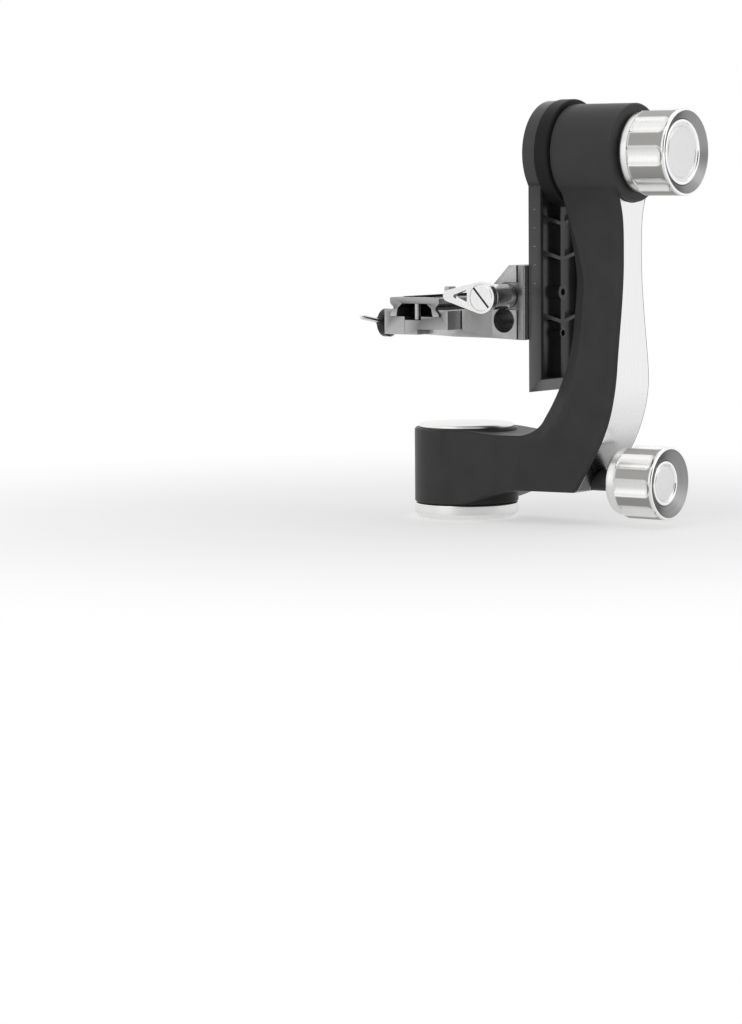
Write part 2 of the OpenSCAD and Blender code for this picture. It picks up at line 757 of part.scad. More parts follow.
// Plan outline of the bracket: it narrows from the clamp to the leg
module bracket_plan() {
    neck_x = 36;
    polygon([
        [fixed_x0 - past, -bracket_front], [clamp_half_w - 3, -bracket_front], [neck_x, -leg_half_w],
        [leg_x1 + past, -leg_half_w], [leg_x1 + past, leg_half_w], [neck_x, leg_half_w],
        [clamp_half_w - 3, bracket_front], [fixed_x0 - past, bracket_front]
    ]);
}

// The rail's section, grown by a gap, as the carriage's groove
module groove_section(gap) {
    mouth = rail_half(leg_x1 + past) + gap;
    floor_w = rail_half(rail_x0 - gap) + gap;
    polygon([
        [leg_x1 + past, -mouth], [rail_x0 - gap, -floor_w], [rail_x0 - gap, floor_w], [leg_x1 + past, mouth]
    ]);
}

module platform_bracket() {
    color(c_grey) difference() {
        intersection() {
            translate([0, bracket_front + past, 0]) along_front()
                linear_extrude(2 * (bracket_front + past)) bracket_side();
            translate([0, 0, platform_z - past]) linear_extrude(leg_h + 2 * past) bracket_plan();
        }
        // Groove for the rail, and the front jaw's recess
        translate([0, 0, platform_z - past]) linear_extrude(leg_h + 2 * past) groove_section(jaw_gap);
        translate([height_jaw_x0 - air, -leg_half_w - past, platform_z - past])
            cube([20, leg_half_w - rail_half_w + 2 + past, leg_h + 2 * past]);
        // Pocket of the jaw's ear, bore of the bolt, round hole below it
        translate([bolt_x, -leg_half_w + ear_t + air + 0.3, bolt_z]) along_front() {
            cylinder(r = ear_r + air, h = through);
            translate([0, -ear_r - air, 0]) cube([height_jaw_x0 - bolt_x, 2 * (ear_r + air), through]);
        }
        translate([bolt_x, 8, bolt_z]) along_front() cylinder(r = bolt_r + run, h = through);
        translate([hole_x, hole_depth - leg_half_w, platform_z + hole_up]) along_front()
            cylinder(r = hole_r, h = through);
        // Screw holes under the clamp base, guide pin holes
        for (y = [-clamp_screw_y, clamp_screw_y])
            translate([clamp_screw_x, y, jaw_z0 - 4]) {
                cylinder(r = 2.3, h = through);
                cylinder(r = 4.2, h = clamp_screw_z - jaw_z0 + 4);
            }
    }
}

clamp_screw_x = 12;
clamp_screw_y = 22;
clamp_screw_z = deck_z - 1.8;
pin_y = 20;
groove_floor = seat_z - 1.9;
groove_x1 = 3.4;
foot_x1 = 1;

// Front view of the fixed half of the clamp, with its lip
module fixed_side() {
    polygon([
        [fixed_x0, deck_z + seat], [clamp_half_w, deck_z + seat], [clamp_half_w, lip_z - 0.6],
        [clamp_half_w - 0.6, lip_z], [dovetail_half_w - 1.9, lip_z],
        [dovetail_half_w + 0.2, lip_z - 2.4], [dovetail_half_w + 0.2, seat_z], [groove_x1, seat_z],
        [groove_x1, groove_floor], [fixed_x0, groove_floor]
    ]);
}

module clamp_base() {
    color(c_grey) difference() {
        union() {
            translate([0, clamp_half_l, 0]) along_front() linear_extrude(2 * clamp_half_l) fixed_side();
            for (side = [-1, 1])
                translate([fixed_x0, side > 0 ? bracket_front + seat : -clamp_half_l, jaw_z0])
                    cube([foot_x1 - fixed_x0, clamp_half_l - bracket_front - seat, deck_z - jaw_z0 + 0.5]);
        }
        for (y = [-clamp_screw_y, clamp_screw_y])
            translate([clamp_screw_x, y, deck_z - past]) cylinder(r = 2.02, h = 5 + past);
        for (y = [-pin_y, pin_y])
            translate([fixed_x0 - past, y, clamp_bolt_z]) along_x() cylinder(r = 1.8 + seat, h = 12 + past);
        translate([fixed_x0 - past, clamp_bolt_y, clamp_bolt_z]) along_x()
            cylinder(r = clamp_bolt_r + run, h = 20 + past);
    }
}

module clamp_base_screws() {
    color(c_steel) for (y = [-clamp_screw_y, clamp_screw_y])
        translate([clamp_screw_x, y, clamp_screw_z]) mirror([0, 0, 1])
            cap_screw(3.9, 1.8, 2, deck_z - clamp_screw_z + 4, 1.6);
}

module clamp_guide_pins() {
    color(c_steel) for (y = [-pin_y, pin_y])
        translate([-clamp_half_w + 3, y, clamp_bolt_z]) along_x() cylinder(r = 1.8, h = fixed_x0 + 11 + clamp_half_w - 3);
}

module clamp_jaw() {
    w = -jaw_x1;
    color(c_grey) difference() {
        translate([0, clamp_half_l, 0]) along_front() linear_extrude(2 * clamp_half_l)
            polygon([
                [-clamp_half_w, jaw_z0], [-w, jaw_z0], [-w, seat_z], [-dovetail_half_w - 0.2, seat_z],
                [-dovetail_half_w - 0.2, lip_z - 2.4], [-dovetail_half_w + 1.9, lip_z],
                [-clamp_half_w + 0.6, lip_z], [-clamp_half_w, lip_z - 0.6]
            ]);
        for (y = [-pin_y, pin_y])
            translate([-clamp_half_w - past, y, clamp_bolt_z]) along_x()
                cylinder(r = 1.8 + run, h = clamp_half_w + past);
        translate([-clamp_half_w - past, clamp_bolt_y, clamp_bolt_z]) along_x()
            cylinder(r = clamp_bolt_r + run, h = clamp_half_w + past);
    }
}

clamp_lever_x = -clamp_half_w - 0.1;
clamp_bolt_reach = 24;

clamp_hub_r = 7.8;
clamp_hub_t = 4.5;
clamp_barrel_r = 5.6;
clamp_screw_r = clamp_hub_r - 1.6;
handle_r = 1.5;
handle_reach = 25;

// Carries a lever's own frame to the clamp's side: +Z becomes -X, the handle points front
module at_clamp_lever() {
    translate([clamp_lever_x, clamp_bolt_y, clamp_bolt_z]) rotate([0, -90, 0]) rotate([0, 0, -80])
        children();
}

module clamp_bolt() {
    color(c_steel) at_clamp_lever()
        translate([0, 0, -clamp_bolt_reach])
            cylinder(r = clamp_bolt_r, h = clamp_bolt_reach + clamp_barrel + cone_h + clamp_hub_t - screw_head_h - 0.1);
}

module clamp_lever() {
    handle_z = 0.5 * clamp_hub_t;
    color(c_silver) at_clamp_lever() translate([0, 0, cone_h + clamp_barrel]) difference() {
        union() {
            turned(clamp_hub_r, clamp_hub_t, 0.9);
            translate([0, 0, -cone_h]) cylinder(r1 = clamp_barrel_r, r2 = clamp_hub_r, h = cone_h);
            translate([0, 0, -cone_h - clamp_barrel]) cylinder(r = clamp_barrel_r, h = clamp_barrel + 0.1);
            translate([clamp_screw_r, 0, handle_z]) along_x()
                cylinder(r = handle_r, h = handle_reach - handle_r - clamp_screw_r);
            translate([handle_reach - handle_r, 0, handle_z]) sphere(r = handle_r);
            translate([clamp_screw_r, 0, handle_z]) along_x()
                cylinder(r = handle_r + 0.7, h = clamp_hub_r + 0.6 - clamp_screw_r);
        }
        translate([0, 0, -cone_h - clamp_barrel - past])
            cylinder(r = clamp_bolt_r + seat, h = 2 * clamp_hub_t + cone_h + clamp_barrel);
        translate([0, 0, clamp_hub_t - screw_head_h]) cylinder(r = clamp_screw_r + run, h = clamp_hub_t);
    }
}

module clamp_lever_screw() {
    color(c_silver) at_clamp_lever()
        translate([0, 0, clamp_barrel + cone_h + clamp_hub_t - screw_head_h]) slotted_screw(clamp_screw_r);
}

// ---- height lock ----

module height_jaw() {
    flank_y = -rail_half(rail_x0 - 0.2) - jaw_gap;
    ear_y = -leg_half_w + air;
    color(c_grey) difference() {
        union() {
            translate([0, 0, platform_z + 0.1]) linear_extrude(leg_h - 0.2)
                polygon([
                    [height_jaw_x0, ear_y + 0.6], [height_jaw_x0 + 0.6, ear_y],
                    [leg_x1 - 0.8, ear_y], [leg_x1, ear_y + 0.8],
                    [leg_x1, -rail_half(leg_x1) - jaw_gap], [rail_x0 - 0.2, flank_y],
                    [height_jaw_x0, flank_y]
                ]);
            translate([bolt_x, ear_y + ear_t, bolt_z]) along_front() {
                cylinder(r = ear_r, h = ear_t);
                translate([0, -ear_r, 0]) cube([height_jaw_x0 + 1 - bolt_x, 2 * ear_r, ear_t]);
            }
        }
        translate([bolt_x, 0, bolt_z]) along_front() cylinder(r = bolt_r + run, h = through);
    }
}

height_lever_y = -leg_half_w - barrel_len;

// Carries a lever's own frame to the height lock: +Z becomes -Y, the leaf points to -X
module at_height_lever() {
    translate([bolt_x, height_lever_y, bolt_z]) rotate([90, 0, 0]) rotate([0, 0, 178]) children();
}

module height_lock_bolt() {
    into_bracket = 28;
    color(c_steel) at_height_lever() translate([0, 0, -barrel_len - into_bracket])
        cylinder(r = bolt_r, h = into_bracket + barrel_len + cone_h + lever_t - screw_head_h - 0.1);
}

module height_lock_barrel() {
    color(c_silver) at_height_lever() translate([0, 0, -barrel_len]) difference() {
        turned(barrel_r, barrel_len, 0.2, 0.6);
        translate([0, 0, -past]) cylinder(r = bolt_r + seat, h = barrel_len + 2 * past);
    }
}

module height_lever() {
    color(c_silver) at_height_lever() translate([0, 0, cone_h]) leaf_lever(bolt_r + seat);
}

module height_lever_screw() {
    color(c_silver) at_height_lever() translate([0, 0, cone_h + lever_t - screw_head_h])
        slotted_screw(screw_head_r);
}

// ---- quick release plate ----

qr_slot_half = 24;
grip_t = 0.8;
stud_y = 15;
stud_len = 4.8;
stud_neck_r = 2.4;
screw_flange_t = 2.2;
qr_hollow_h = 7;
qr_hollow_z = qr_z0 + qr_hollow_h;

// Front view of the plate: dovetail foot, neck, top slab and the hollow underneath
module qr_side() {
    foot_z = qr_z0;
    neck = dovetail_half_w - 2.1;
    hollow = dovetail_half_w - 4;
    polygon([
        [-dovetail_half_w, foot_z], [-hollow, foot_z], [-hollow + 1, foot_z + 4.5], [-hollow + 4, foot_z + qr_hollow_h],
        [hollow - 4, foot_z + qr_hollow_h], [hollow - 1, foot_z + 4.5], [hollow, foot_z], [dovetail_half_w, foot_z],
        [dovetail_half_w, foot_z + 1.2], [neck, foot_z + 3.5], [neck, foot_z + 5],
        [dovetail_half_w + 0.2, foot_z + 7.2], [dovetail_half_w + 0.2, qr_top - 0.5],
        [dovetail_half_w - 0.3, qr_top], [-dovetail_half_w + 0.3, qr_top],
        [-dovetail_half_w - 0.2, qr_top - 0.5], [-dovetail_half_w - 0.2, foot_z + 7.2],
        [-neck, foot_z + 5], [-neck, foot_z + 3.5], [-dovetail_half_w, foot_z + 1.2]
    ]);
}

module quick_release_plate() {
    color(c_steel) difference() {
        translate([0, qr_len / 2, 0]) along_front() linear_extrude(qr_len) qr_side();
        // Slot for the camera screws, and grooves for the grip strips
        for (y = [-qr_slot_half, qr_slot_half])
            translate([0, y, qr_z0]) cylinder(r = stud_r + 0.3, h = qr_h + past);
        translate([-stud_r - 0.3, -qr_slot_half, qr_z0])
            cube([2 * (stud_r + 0.3), 2 * qr_slot_half, qr_h + past]);
        for (x = [-9.5, 9.5])
            translate([x - 3, -qr_len / 2 + 6, qr_top - grip_t]) cube([6, qr_len - 12, grip_t + past]);
        for (y = [-qr_len / 2 + 3, qr_len / 2 - 3])
            translate([0, y, qr_z0]) cylinder(r = 1.5 + seat, h = qr_h - 1);
    }
}

// A camera screw: slotted head under the slab, thin neck in the slot, thread above it
module camera_screw() {
    color(c_steel) translate([0, 0, qr_hollow_z - screw_flange_t]) difference() {
        union() {
            turned(6, screw_flange_t - run, 0.3, 0.3);
            cylinder(r = stud_neck_r, h = qr_top - qr_hollow_z + screw_flange_t + 1);
            translate([0, 0, qr_top - qr_hollow_z + screw_flange_t + 0.2]) cylinder(r = stud_r, h = stud_len);
        }
        translate([-0.8, -10, -past]) cube([1.6, 20, past + 1]);
    }
}

module front_camera_screw() translate([0, -stud_y, 0]) camera_screw();
module rear_camera_screw() translate([0, stud_y, 0]) camera_screw();

module plate_grip_strips() {
    color(c_rubber) for (x = [-9.5, 9.5])
        translate([x - 2.95, -qr_len / 2 + 6.05, qr_top - grip_t + seat])
            cube([5.9, qr_len - 12.1, grip_t + 0.3]);
}

module safety_pins() {
    color(c_silver) for (y = [-qr_len / 2 + 3, qr_len / 2 - 3])
        translate([0, y, groove_floor + 0.4]) cylinder(r = 1.5, h = qr_z0 + qr_h - 2 - groove_floor);
}

base_ring();
pan_spindle();
pan_thrust_washer();
spindle_screws();
c_arm();
pan_bearing_lower();
pan_bearing_upper();
pan_retaining_nut();
pan_cap();
pan_lock_collar();
pan_brake_pad();
pan_lock_screw();
pan_knob();
pan_knob_cap();
tilt_bearing_inner();
tilt_bearing_outer();
tilt_hub();
tilt_shaft();
swing_plate();
hub_screws();
rail_stop_screws();
tilt_brake_disc();
tilt_knob();
tilt_knob_cap();
platform_bracket();
clamp_base();
clamp_base_screws();
clamp_guide_pins();
height_jaw();
height_lock_bolt();
height_lock_barrel();
height_lever();
height_lever_screw();
clamp_jaw();
clamp_bolt();
clamp_lever();
clamp_lever_screw();
quick_release_plate();
front_camera_screw();
rear_camera_screw();
plate_grip_strips();
safety_pins();
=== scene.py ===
import json
import math
import bmesh
import bpy
from mathutils import Matrix, Vector

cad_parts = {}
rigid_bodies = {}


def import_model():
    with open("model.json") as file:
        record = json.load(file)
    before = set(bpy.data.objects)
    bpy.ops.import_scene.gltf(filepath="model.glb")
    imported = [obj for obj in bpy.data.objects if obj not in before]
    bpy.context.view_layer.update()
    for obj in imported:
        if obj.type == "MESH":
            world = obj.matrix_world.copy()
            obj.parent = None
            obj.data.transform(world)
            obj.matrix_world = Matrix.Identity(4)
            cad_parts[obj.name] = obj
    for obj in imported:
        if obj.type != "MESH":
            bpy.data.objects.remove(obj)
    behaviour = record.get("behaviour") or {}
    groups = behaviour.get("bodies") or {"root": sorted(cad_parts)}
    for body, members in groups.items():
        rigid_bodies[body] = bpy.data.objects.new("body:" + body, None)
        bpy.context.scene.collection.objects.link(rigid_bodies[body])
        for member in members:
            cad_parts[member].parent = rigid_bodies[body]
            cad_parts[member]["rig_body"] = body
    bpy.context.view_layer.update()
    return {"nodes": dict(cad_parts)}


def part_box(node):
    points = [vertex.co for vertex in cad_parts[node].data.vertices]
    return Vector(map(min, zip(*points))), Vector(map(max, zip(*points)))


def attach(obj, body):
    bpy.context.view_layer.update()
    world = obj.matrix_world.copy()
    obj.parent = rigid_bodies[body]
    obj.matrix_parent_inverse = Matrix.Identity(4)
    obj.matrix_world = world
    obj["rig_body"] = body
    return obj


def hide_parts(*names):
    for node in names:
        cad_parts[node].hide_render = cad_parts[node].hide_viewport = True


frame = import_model()
nodes = frame["nodes"]
mm = 0.001
weld = 2e-6


# Camera, at the angle from which the head was photographed

cameraSpec = {
    "place": (1.1324, -1.6087, 0.1951),
    "azimuth": 36.71,
    "pitch": 5.59,
    "roll": -0.47,
    "focalPixels": 3523.0,
    "framePixels": 1024.0,
    "sensor": 36.0,
}


def placeCamera(spec):
    a, p, r = (math.radians(spec[k]) for k in ("azimuth", "pitch", "roll"))
    ahead = Vector((-math.sin(a) * math.cos(p), math.cos(a) * math.cos(p), -math.sin(p)))
    flat = Vector((math.cos(a), math.sin(a), 0))
    up = flat.cross(ahead)
    right = flat * math.cos(r) + up * math.sin(r)
    up = up * math.cos(r) - flat * math.sin(r)
    data = bpy.data.cameras.new("photoCamera")
    data.sensor_fit = "VERTICAL"
    data.sensor_height = spec["sensor"]
    data.lens = spec["focalPixels"] * spec["sensor"] / spec["framePixels"]
    data.clip_end = 50
    camera = bpy.data.objects.new("photoCamera", data)
    turn = Matrix((right, up, -ahead)).transposed().to_4x4()
    camera.matrix_world = Matrix.Translation(spec["place"]) @ turn
    bpy.context.scene.collection.objects.link(camera)
    bpy.context.scene.camera = camera


placeCamera(cameraSpec)
print("camera placed")


def addNode(tree, kind, inputs=None, **settings):
    node = tree.nodes.new(kind)
    for name, value in settings.items():
        setattr(node, name, value)
    for key, value in (inputs or {}).items():
        if isinstance(value, bpy.types.NodeSocket):
            tree.links.new(value, node.inputs[key])
        else:
            node.inputs[key].default_value = value
    return node


def reckon(tree, operation, *values):
    return addNode(tree, "ShaderNodeMath", dict(enumerate(values)), operation=operation).outputs[0]


# Studio: pale floor, soft lamps, a pale room that is darker behind the camera

studioSpec = {
    "floorSize": 12.0,
    "floorColour": (0.93, 0.93, 0.93, 1),
    "floorRoughness": 0.9,
    "floorSpecular": 0.1,
    "roomDiffuse": 0.34,
    "roomBack": 1.0,
    "roomFront": 0.16,
    "roomTilt": 0.25,
    "darkBelow": -0.75,
    "lightAbove": 0.1,
    "whiteFrom": 0.06,
    "whiteBy": 0.5,
    "nearWhite": 0.55,
    "lamps": [
        # name, place, aim, width, height, watts
        ("keyPanel", (-0.45, -2.2, 0.6), (0.04, 0, 0.12), 1.6, 1.6, 8.0),
        ("highPanel", (0.1, -1.2, 1.9), (0.05, 0, 0.12), 1.4, 1.1, 7.0),
        ("rightPanel", (2.0, 0.35, 0.8), (0.08, 0, 0.14), 1.0, 2.0, 7.0),
        ("topPanel", (0.1, 0.5, 1.9), (0.05, 0, 0.1), 1.9, 1.5, 6.0),
    ],
}


def buildRoom(spec):
    world = bpy.data.worlds.new("studioRoom")
    bpy.context.scene.world = world
    world.use_nodes = True
    tree = world.node_tree
    tree.nodes.clear()
    rays = addNode(tree, "ShaderNodeLightPath").outputs
    where = addNode(tree, "ShaderNodeTexCoord").outputs["Generated"]
    a = math.radians(cameraSpec["azimuth"])
    behind = (-math.sin(a), math.cos(a), spec["roomTilt"])
    along = addNode(tree, "ShaderNodeVectorMath", {0: where, 1: behind},
        operation="DOT_PRODUCT").outputs["Value"]
    room = addNode(tree, "ShaderNodeMapRange", {"Value": along, "From Min": spec["darkBelow"],
        "From Max": spec["lightAbove"], "To Min": spec["roomFront"], "To Max": spec["roomBack"]},
        interpolation_type="SMOOTHSTEP").outputs["Result"]
    mirrored = reckon(tree, "MAXIMUM", rays["Is Glossy Ray"], rays["Is Transmission Ray"])
    lit = addNode(tree, "ShaderNodeMix", {0: mirrored, 2: spec["roomDiffuse"], 3: room}).outputs[0]
    seen = addNode(tree, "ShaderNodeMix", {0: rays["Is Camera Ray"], 2: lit, 3: 1.0}).outputs[0]
    light = addNode(tree, "ShaderNodeBackground", {"Color": (1, 1, 1, 1), "Strength": seen}).outputs[0]
    addNode(tree, "ShaderNodeOutputWorld", {"Surface": light})


def buildFloor(spec):
    half = spec["floorSize"] / 2
    mesh = bpy.data.meshes.new("floor")
    corners = [(-half, -half, 0), (half, -half, 0), (half, half, 0), (-half, half, 0)]
    mesh.from_pydata(corners, [], [(0, 1, 2, 3)])
    floor = bpy.data.objects.new("floor", mesh)
    bpy.context.scene.collection.objects.link(floor)
    pale = bpy.data.materials.new("paleFloor")
    pale.use_nodes = True
    shader = pale.node_tree.nodes["Principled BSDF"]
    shader.inputs["Base Color"].default_value = spec["floorColour"]
    shader.inputs["Roughness"].default_value = spec["floorRoughness"]
    shader.inputs["Specular IOR Level"].default_value = spec["floorSpecular"]
    mesh.materials.append(pale)
    # Away from the object the floor is seen as white as the room
    tree = pale.node_tree
    where = addNode(tree, "ShaderNodeTexCoord").outputs["Object"]
    far = addNode(tree, "ShaderNodeVectorMath", {0: where}, operation="LENGTH").outputs["Value"]
    fade = addNode(tree, "ShaderNodeMapRange", {"Value": far, "From Min": spec["whiteFrom"],
        "From Max": spec["whiteBy"], "To Min": spec["nearWhite"]},
        interpolation_type="SMOOTHSTEP").outputs["Result"]
    rays = addNode(tree, "ShaderNodeLightPath").outputs
    mirrored = reckon(tree, "MAXIMUM", rays["Is Glossy Ray"], rays["Is Transmission Ray"])
    seen = reckon(tree, "MAXIMUM", rays["Is Camera Ray"], mirrored)
    white = addNode(tree, "ShaderNodeEmission").outputs[0]
    mix = addNode(tree, "ShaderNodeMixShader",
        {0: reckon(tree, "MULTIPLY", fade, seen), 1: shader.outputs[0], 2: white}).outputs[0]
    tree.links.new(mix, tree.nodes["Material Output"].inputs["Surface"])


def hangLamps(spec):
    for name, place, aim, width, height, watts in spec["lamps"]:
        data = bpy.data.lights.new(name, "AREA")
        data.shape = "RECTANGLE"
        data.size = width
        data.size_y = height
        data.energy = watts
        lamp = bpy.data.objects.new(name, data)
        lamp.location = place
        lamp.rotation_euler = (Vector(aim) - Vector(place)).to_track_quat("-Z", "Y").to_euler()
        bpy.context.scene.collection.objects.link(lamp)


buildRoom(studioSpec)
buildFloor(studioSpec)
hangLamps(studioSpec)
bpy.context.scene.view_settings.view_transform = "Standard"
print("studio lit")


# Finishes


def newFinish(name):
    finish = bpy.data.materials.new(name)
    finish.use_nodes = True
    return finish, finish.node_tree, finish.node_tree.nodes["Principled BSDF"]


def addNoise(tree, scale, stretch=(1, 1, 1), detail=3.0):
    where = addNode(tree, "ShaderNodeTexCoord").outputs["Object"]
    place = addNode(tree, "ShaderNodeMapping", {"Vector": where, "Scale": stretch}).outputs["Vector"]
    return addNode(tree, "ShaderNodeTexNoise",
        {"Vector": place, "Scale": scale, "Detail": detail}).outputs["Fac"]


def spread(tree, value, low, high, fromLow=0.3, fromHigh=0.7):
    return addNode(tree, "ShaderNodeMapRange", {"Value": value, "From Min": fromLow, "From Max": fromHigh,
        "To Min": low, "To Max": high}).outputs["Result"]


def tint(tree, value, dark, light):
    ramp = addNode(tree, "ShaderNodeValToRGB", {"Fac": value})
    for stop, position, colour in zip(ramp.color_ramp.elements, (0.3, 0.7), (dark, light)):
        stop.position = position
        stop.color = (*colour, 1)
    return ramp.outputs["Color"]


def addBump(tree, shader, height, strength, depth):
    bump = addNode(tree, "ShaderNodeBump", {"Strength": strength, "Distance": depth, "Height": height})
    tree.links.new(bump.outputs["Normal"], shader.inputs["Normal"])


edgeLightFrom, edgeLightFull = 0.52, 0.62


# Convex edges are lightened: partly wear, partly a painted highlight along the edges
def lightenEdges(tree, shader, colour, wornAndHighlit, amount):
    pointed = addNode(tree, "ShaderNodeNewGeometry").outputs["Pointiness"]
    edge = spread(tree, pointed, 0.0, amount, edgeLightFrom, edgeLightFull)
    mix = addNode(tree, "ShaderNodeMix", {0: edge, 6: colour, 7: (*wornAndHighlit, 1)}, data_type="RGBA")
    tree.links.new(mix.outputs[2], shader.inputs["Base Color"])


satinBlackSpec = {
    "dark": (0.052, 0.0495, 0.0505), "light": (0.061, 0.0585, 0.0595), "wornAndHighlit": (0.10, 0.098, 0.099),
    "roughness": (0.34, 0.42), "specular": 0.09, "grain": 2600, "cloud": 60,
    "wearAndHighlight": 0.35, "relief": 0.3, "depth": 0.00003,
}


def satinBlack(name, spec):
    finish, tree, shader = newFinish(name)
    cloud = addNoise(tree, spec["cloud"], detail=5)
    lightenEdges(tree, shader, tint(tree, cloud, spec["dark"], spec["light"]), spec["wornAndHighlit"], spec["wearAndHighlight"])
    tree.links.new(spread(tree, cloud, *spec["roughness"]), shader.inputs["Roughness"])
    shader.inputs["Specular IOR Level"].default_value = spec["specular"]
    addBump(tree, shader, addNoise(tree, spec["grain"], detail=2), spec["relief"], spec["depth"])
    return finish


turnedMetalSpec = {
    "dark": (0.80, 0.797, 0.79), "light": (0.86, 0.857, 0.85), "roughness": (0.29, 0.31),
    "rings": 5200, "streaks": 700,
    "gripDark": (0.29, 0.287, 0.277), "gripLight": (0.37, 0.366, 0.354), "gripRoughness": 0.4,
    "knurlsAround": 160, "knurlPitch": 0.0009, "knurlDepth": 0.00006,
    "ringHeight": 0.006, "relief": 0.14, "depth": 0.00002,
}


def turnedMetal(name, centre, axis, spec, knurled=False):
    # Lathe marks are rings round the turning axis; the grip attribute turns them to fine knurling
    finish, tree, shader = newFinish(name)
    shader.inputs["Metallic"].default_value = 1.0
    where = addNode(tree, "ShaderNodeTexCoord").outputs["Object"]
    shift = addNode(tree, "ShaderNodeVectorMath", {0: where, 1: centre}, operation="SUBTRACT").outputs[0]
    flat = [0 if i == axis else 1 for i in range(3)]
    across = addNode(tree, "ShaderNodeVectorMath", {0: shift, 1: flat}, operation="MULTIPLY").outputs[0]
    radius = addNode(tree, "ShaderNodeVectorMath", {0: across}, operation="LENGTH").outputs["Value"]
    parts = addNode(tree, "ShaderNodeSeparateXYZ", {0: shift}).outputs
    pair = addNode(tree, "ShaderNodeCombineXYZ", {0: radius, 1: parts[axis]}).outputs[0]
    rings = addNode(tree, "ShaderNodeTexNoise", {"Vector": pair, "Scale": spec["rings"], "Detail": 2.0})
    bands = addNode(tree, "ShaderNodeTexNoise", {"Vector": pair, "Scale": spec["streaks"], "Detail": 4.0})
    colour = tint(tree, bands.outputs["Fac"], spec["dark"], spec["light"])
    rough = spread(tree, bands.outputs["Fac"], *spec["roughness"])
    height = reckon(tree, "MULTIPLY", rings.outputs["Fac"], spec["ringHeight"])
    if knurled:
        grip = addNode(tree, "ShaderNodeAttribute", attribute_name="grip").outputs["Fac"]
        turn = reckon(tree, "ARCTAN2", parts[(axis + 1) % 3], parts[(axis + 2) % 3])
        turn = reckon(tree, "MULTIPLY", turn, spec["knurlsAround"])
        along = reckon(tree, "MULTIPLY", parts[axis], 2 * math.pi / spec["knurlPitch"])
        one = reckon(tree, "SINE", reckon(tree, "ADD", turn, along))
        other = reckon(tree, "SINE", reckon(tree, "SUBTRACT", turn, along))
        diamond = reckon(tree, "MULTIPLY", one, other)
        raised = reckon(tree, "MULTIPLY_ADD", diamond, 0.5, 0.5)
        gripTint = tint(tree, raised, spec["gripDark"], spec["gripLight"])
        mix = addNode(tree, "ShaderNodeMix", {0: grip, 6: colour, 7: gripTint}, data_type="RGBA")
        colour = mix.outputs[2]
        rough = addNode(tree, "ShaderNodeMix", {0: grip, 2: rough, 3: spec["gripRoughness"]}).outputs[0]
        height = reckon(tree, "ADD", height, reckon(tree, "MULTIPLY", diamond, grip))
    tree.links.new(colour, shader.inputs["Base Color"])
    tree.links.new(rough, shader.inputs["Roughness"])
    addBump(tree, shader, height, spec["relief"], spec["knurlDepth" if knurled else "depth"])
    return finish


# The first three set a painted shade: the colour darkens from one height down to a lower one, to the share
# given last
brushedSpec = {
    "paintedShadeFrom": 0.058, "paintedShadeTo": 0.024, "paintedShadeLowest": 0.12,
    "dark": (0.84, 0.836, 0.838), "light": (0.91, 0.906, 0.908), "roughness": (0.22, 0.30),
    "scale": 2200, "stretch": (1, 1, 0.02), "depth": 0.00001, "relief": 0.05,
}


def brushedSilver(name, spec):
    finish, tree, shader = newFinish(name)
    shader.inputs["Metallic"].default_value = 1.0
    brushed = addNoise(tree, spec["scale"], spec["stretch"], detail=3)
    colour = tint(tree, brushed, spec["dark"], spec["light"])
    if spec["paintedShadeLowest"] < 1:
        # Painted shade: the colour itself is made darker towards the lower end, to match the tone seen there
        where = addNode(tree, "ShaderNodeTexCoord").outputs["Object"]
        height = addNode(tree, "ShaderNodeSeparateXYZ", {0: where}).outputs[2]
        fade = addNode(tree, "ShaderNodeMapRange", {"Value": height, "From Min": spec["paintedShadeTo"],
            "From Max": spec["paintedShadeFrom"], "To Min": spec["paintedShadeLowest"], "To Max": 1.0},
            interpolation_type="SMOOTHSTEP")
        colour = addNode(tree, "ShaderNodeVectorMath", {0: colour, 1: fade.outputs[0]},
            operation="MULTIPLY").outputs[0]
    tree.links.new(colour, shader.inputs["Base Color"])
    tree.links.new(spread(tree, brushed, *spec["roughness"]), shader.inputs["Roughness"])
    addBump(tree, shader, brushed, spec["relief"], spec["depth"])
    return finish


# Its near-white edge colour is mostly a painted highlight along the edges
greySpec = {
    "dark": (0.098, 0.0965, 0.098), "light": (0.125, 0.1235, 0.125), "wornAndHighlit": (0.92, 0.92, 0.92),
    "roughness": (0.22, 0.29), "grain": 2600, "cloud": 90, "metal": 0.85,
    "wearAndHighlight": 0.9, "relief": 0.25, "depth": 0.00002,
}


def greyAnodised(name, spec):
    finish, tree, shader = newFinish(name)
    shader.inputs["Metallic"].default_value = spec["metal"]
    cloud = addNoise(tree, spec["cloud"], detail=5)
    lightenEdges(tree, shader, tint(tree, cloud, spec["dark"], spec["light"]), spec["wornAndHighlit"], spec["wearAndHighlight"])
    tree.links.new(spread(tree, cloud, *spec["roughness"]), shader.inputs["Roughness"])
    addBump(tree, shader, addNoise(tree, spec["grain"], detail=2), spec["relief"], spec["depth"])
    return finish


steelSpec = {
    "dark": (0.46, 0.46, 0.47), "light": (0.53, 0.53, 0.54), "roughness": (0.27, 0.33),
    "cloud": 260, "grain": 3000, "relief": 0.06, "depth": 0.00002,
}


def plainSteel(spec):
    finish, tree, shader = newFinish("machinedSteel")
    shader.inputs["Metallic"].default_value = 1.0
    cloud = addNoise(tree, spec["cloud"], detail=3)
    tree.links.new(tint(tree, cloud, spec["dark"], spec["light"]), shader.inputs["Base Color"])
    tree.links.new(spread(tree, cloud, *spec["roughness"]), shader.inputs["Roughness"])
    addBump(tree, shader, addNoise(tree, spec["grain"], detail=2), spec["relief"], spec["depth"])
    return finish


mouldedSpec = {"cloud": 150, "patchy": 0.06, "relief": 0.5}


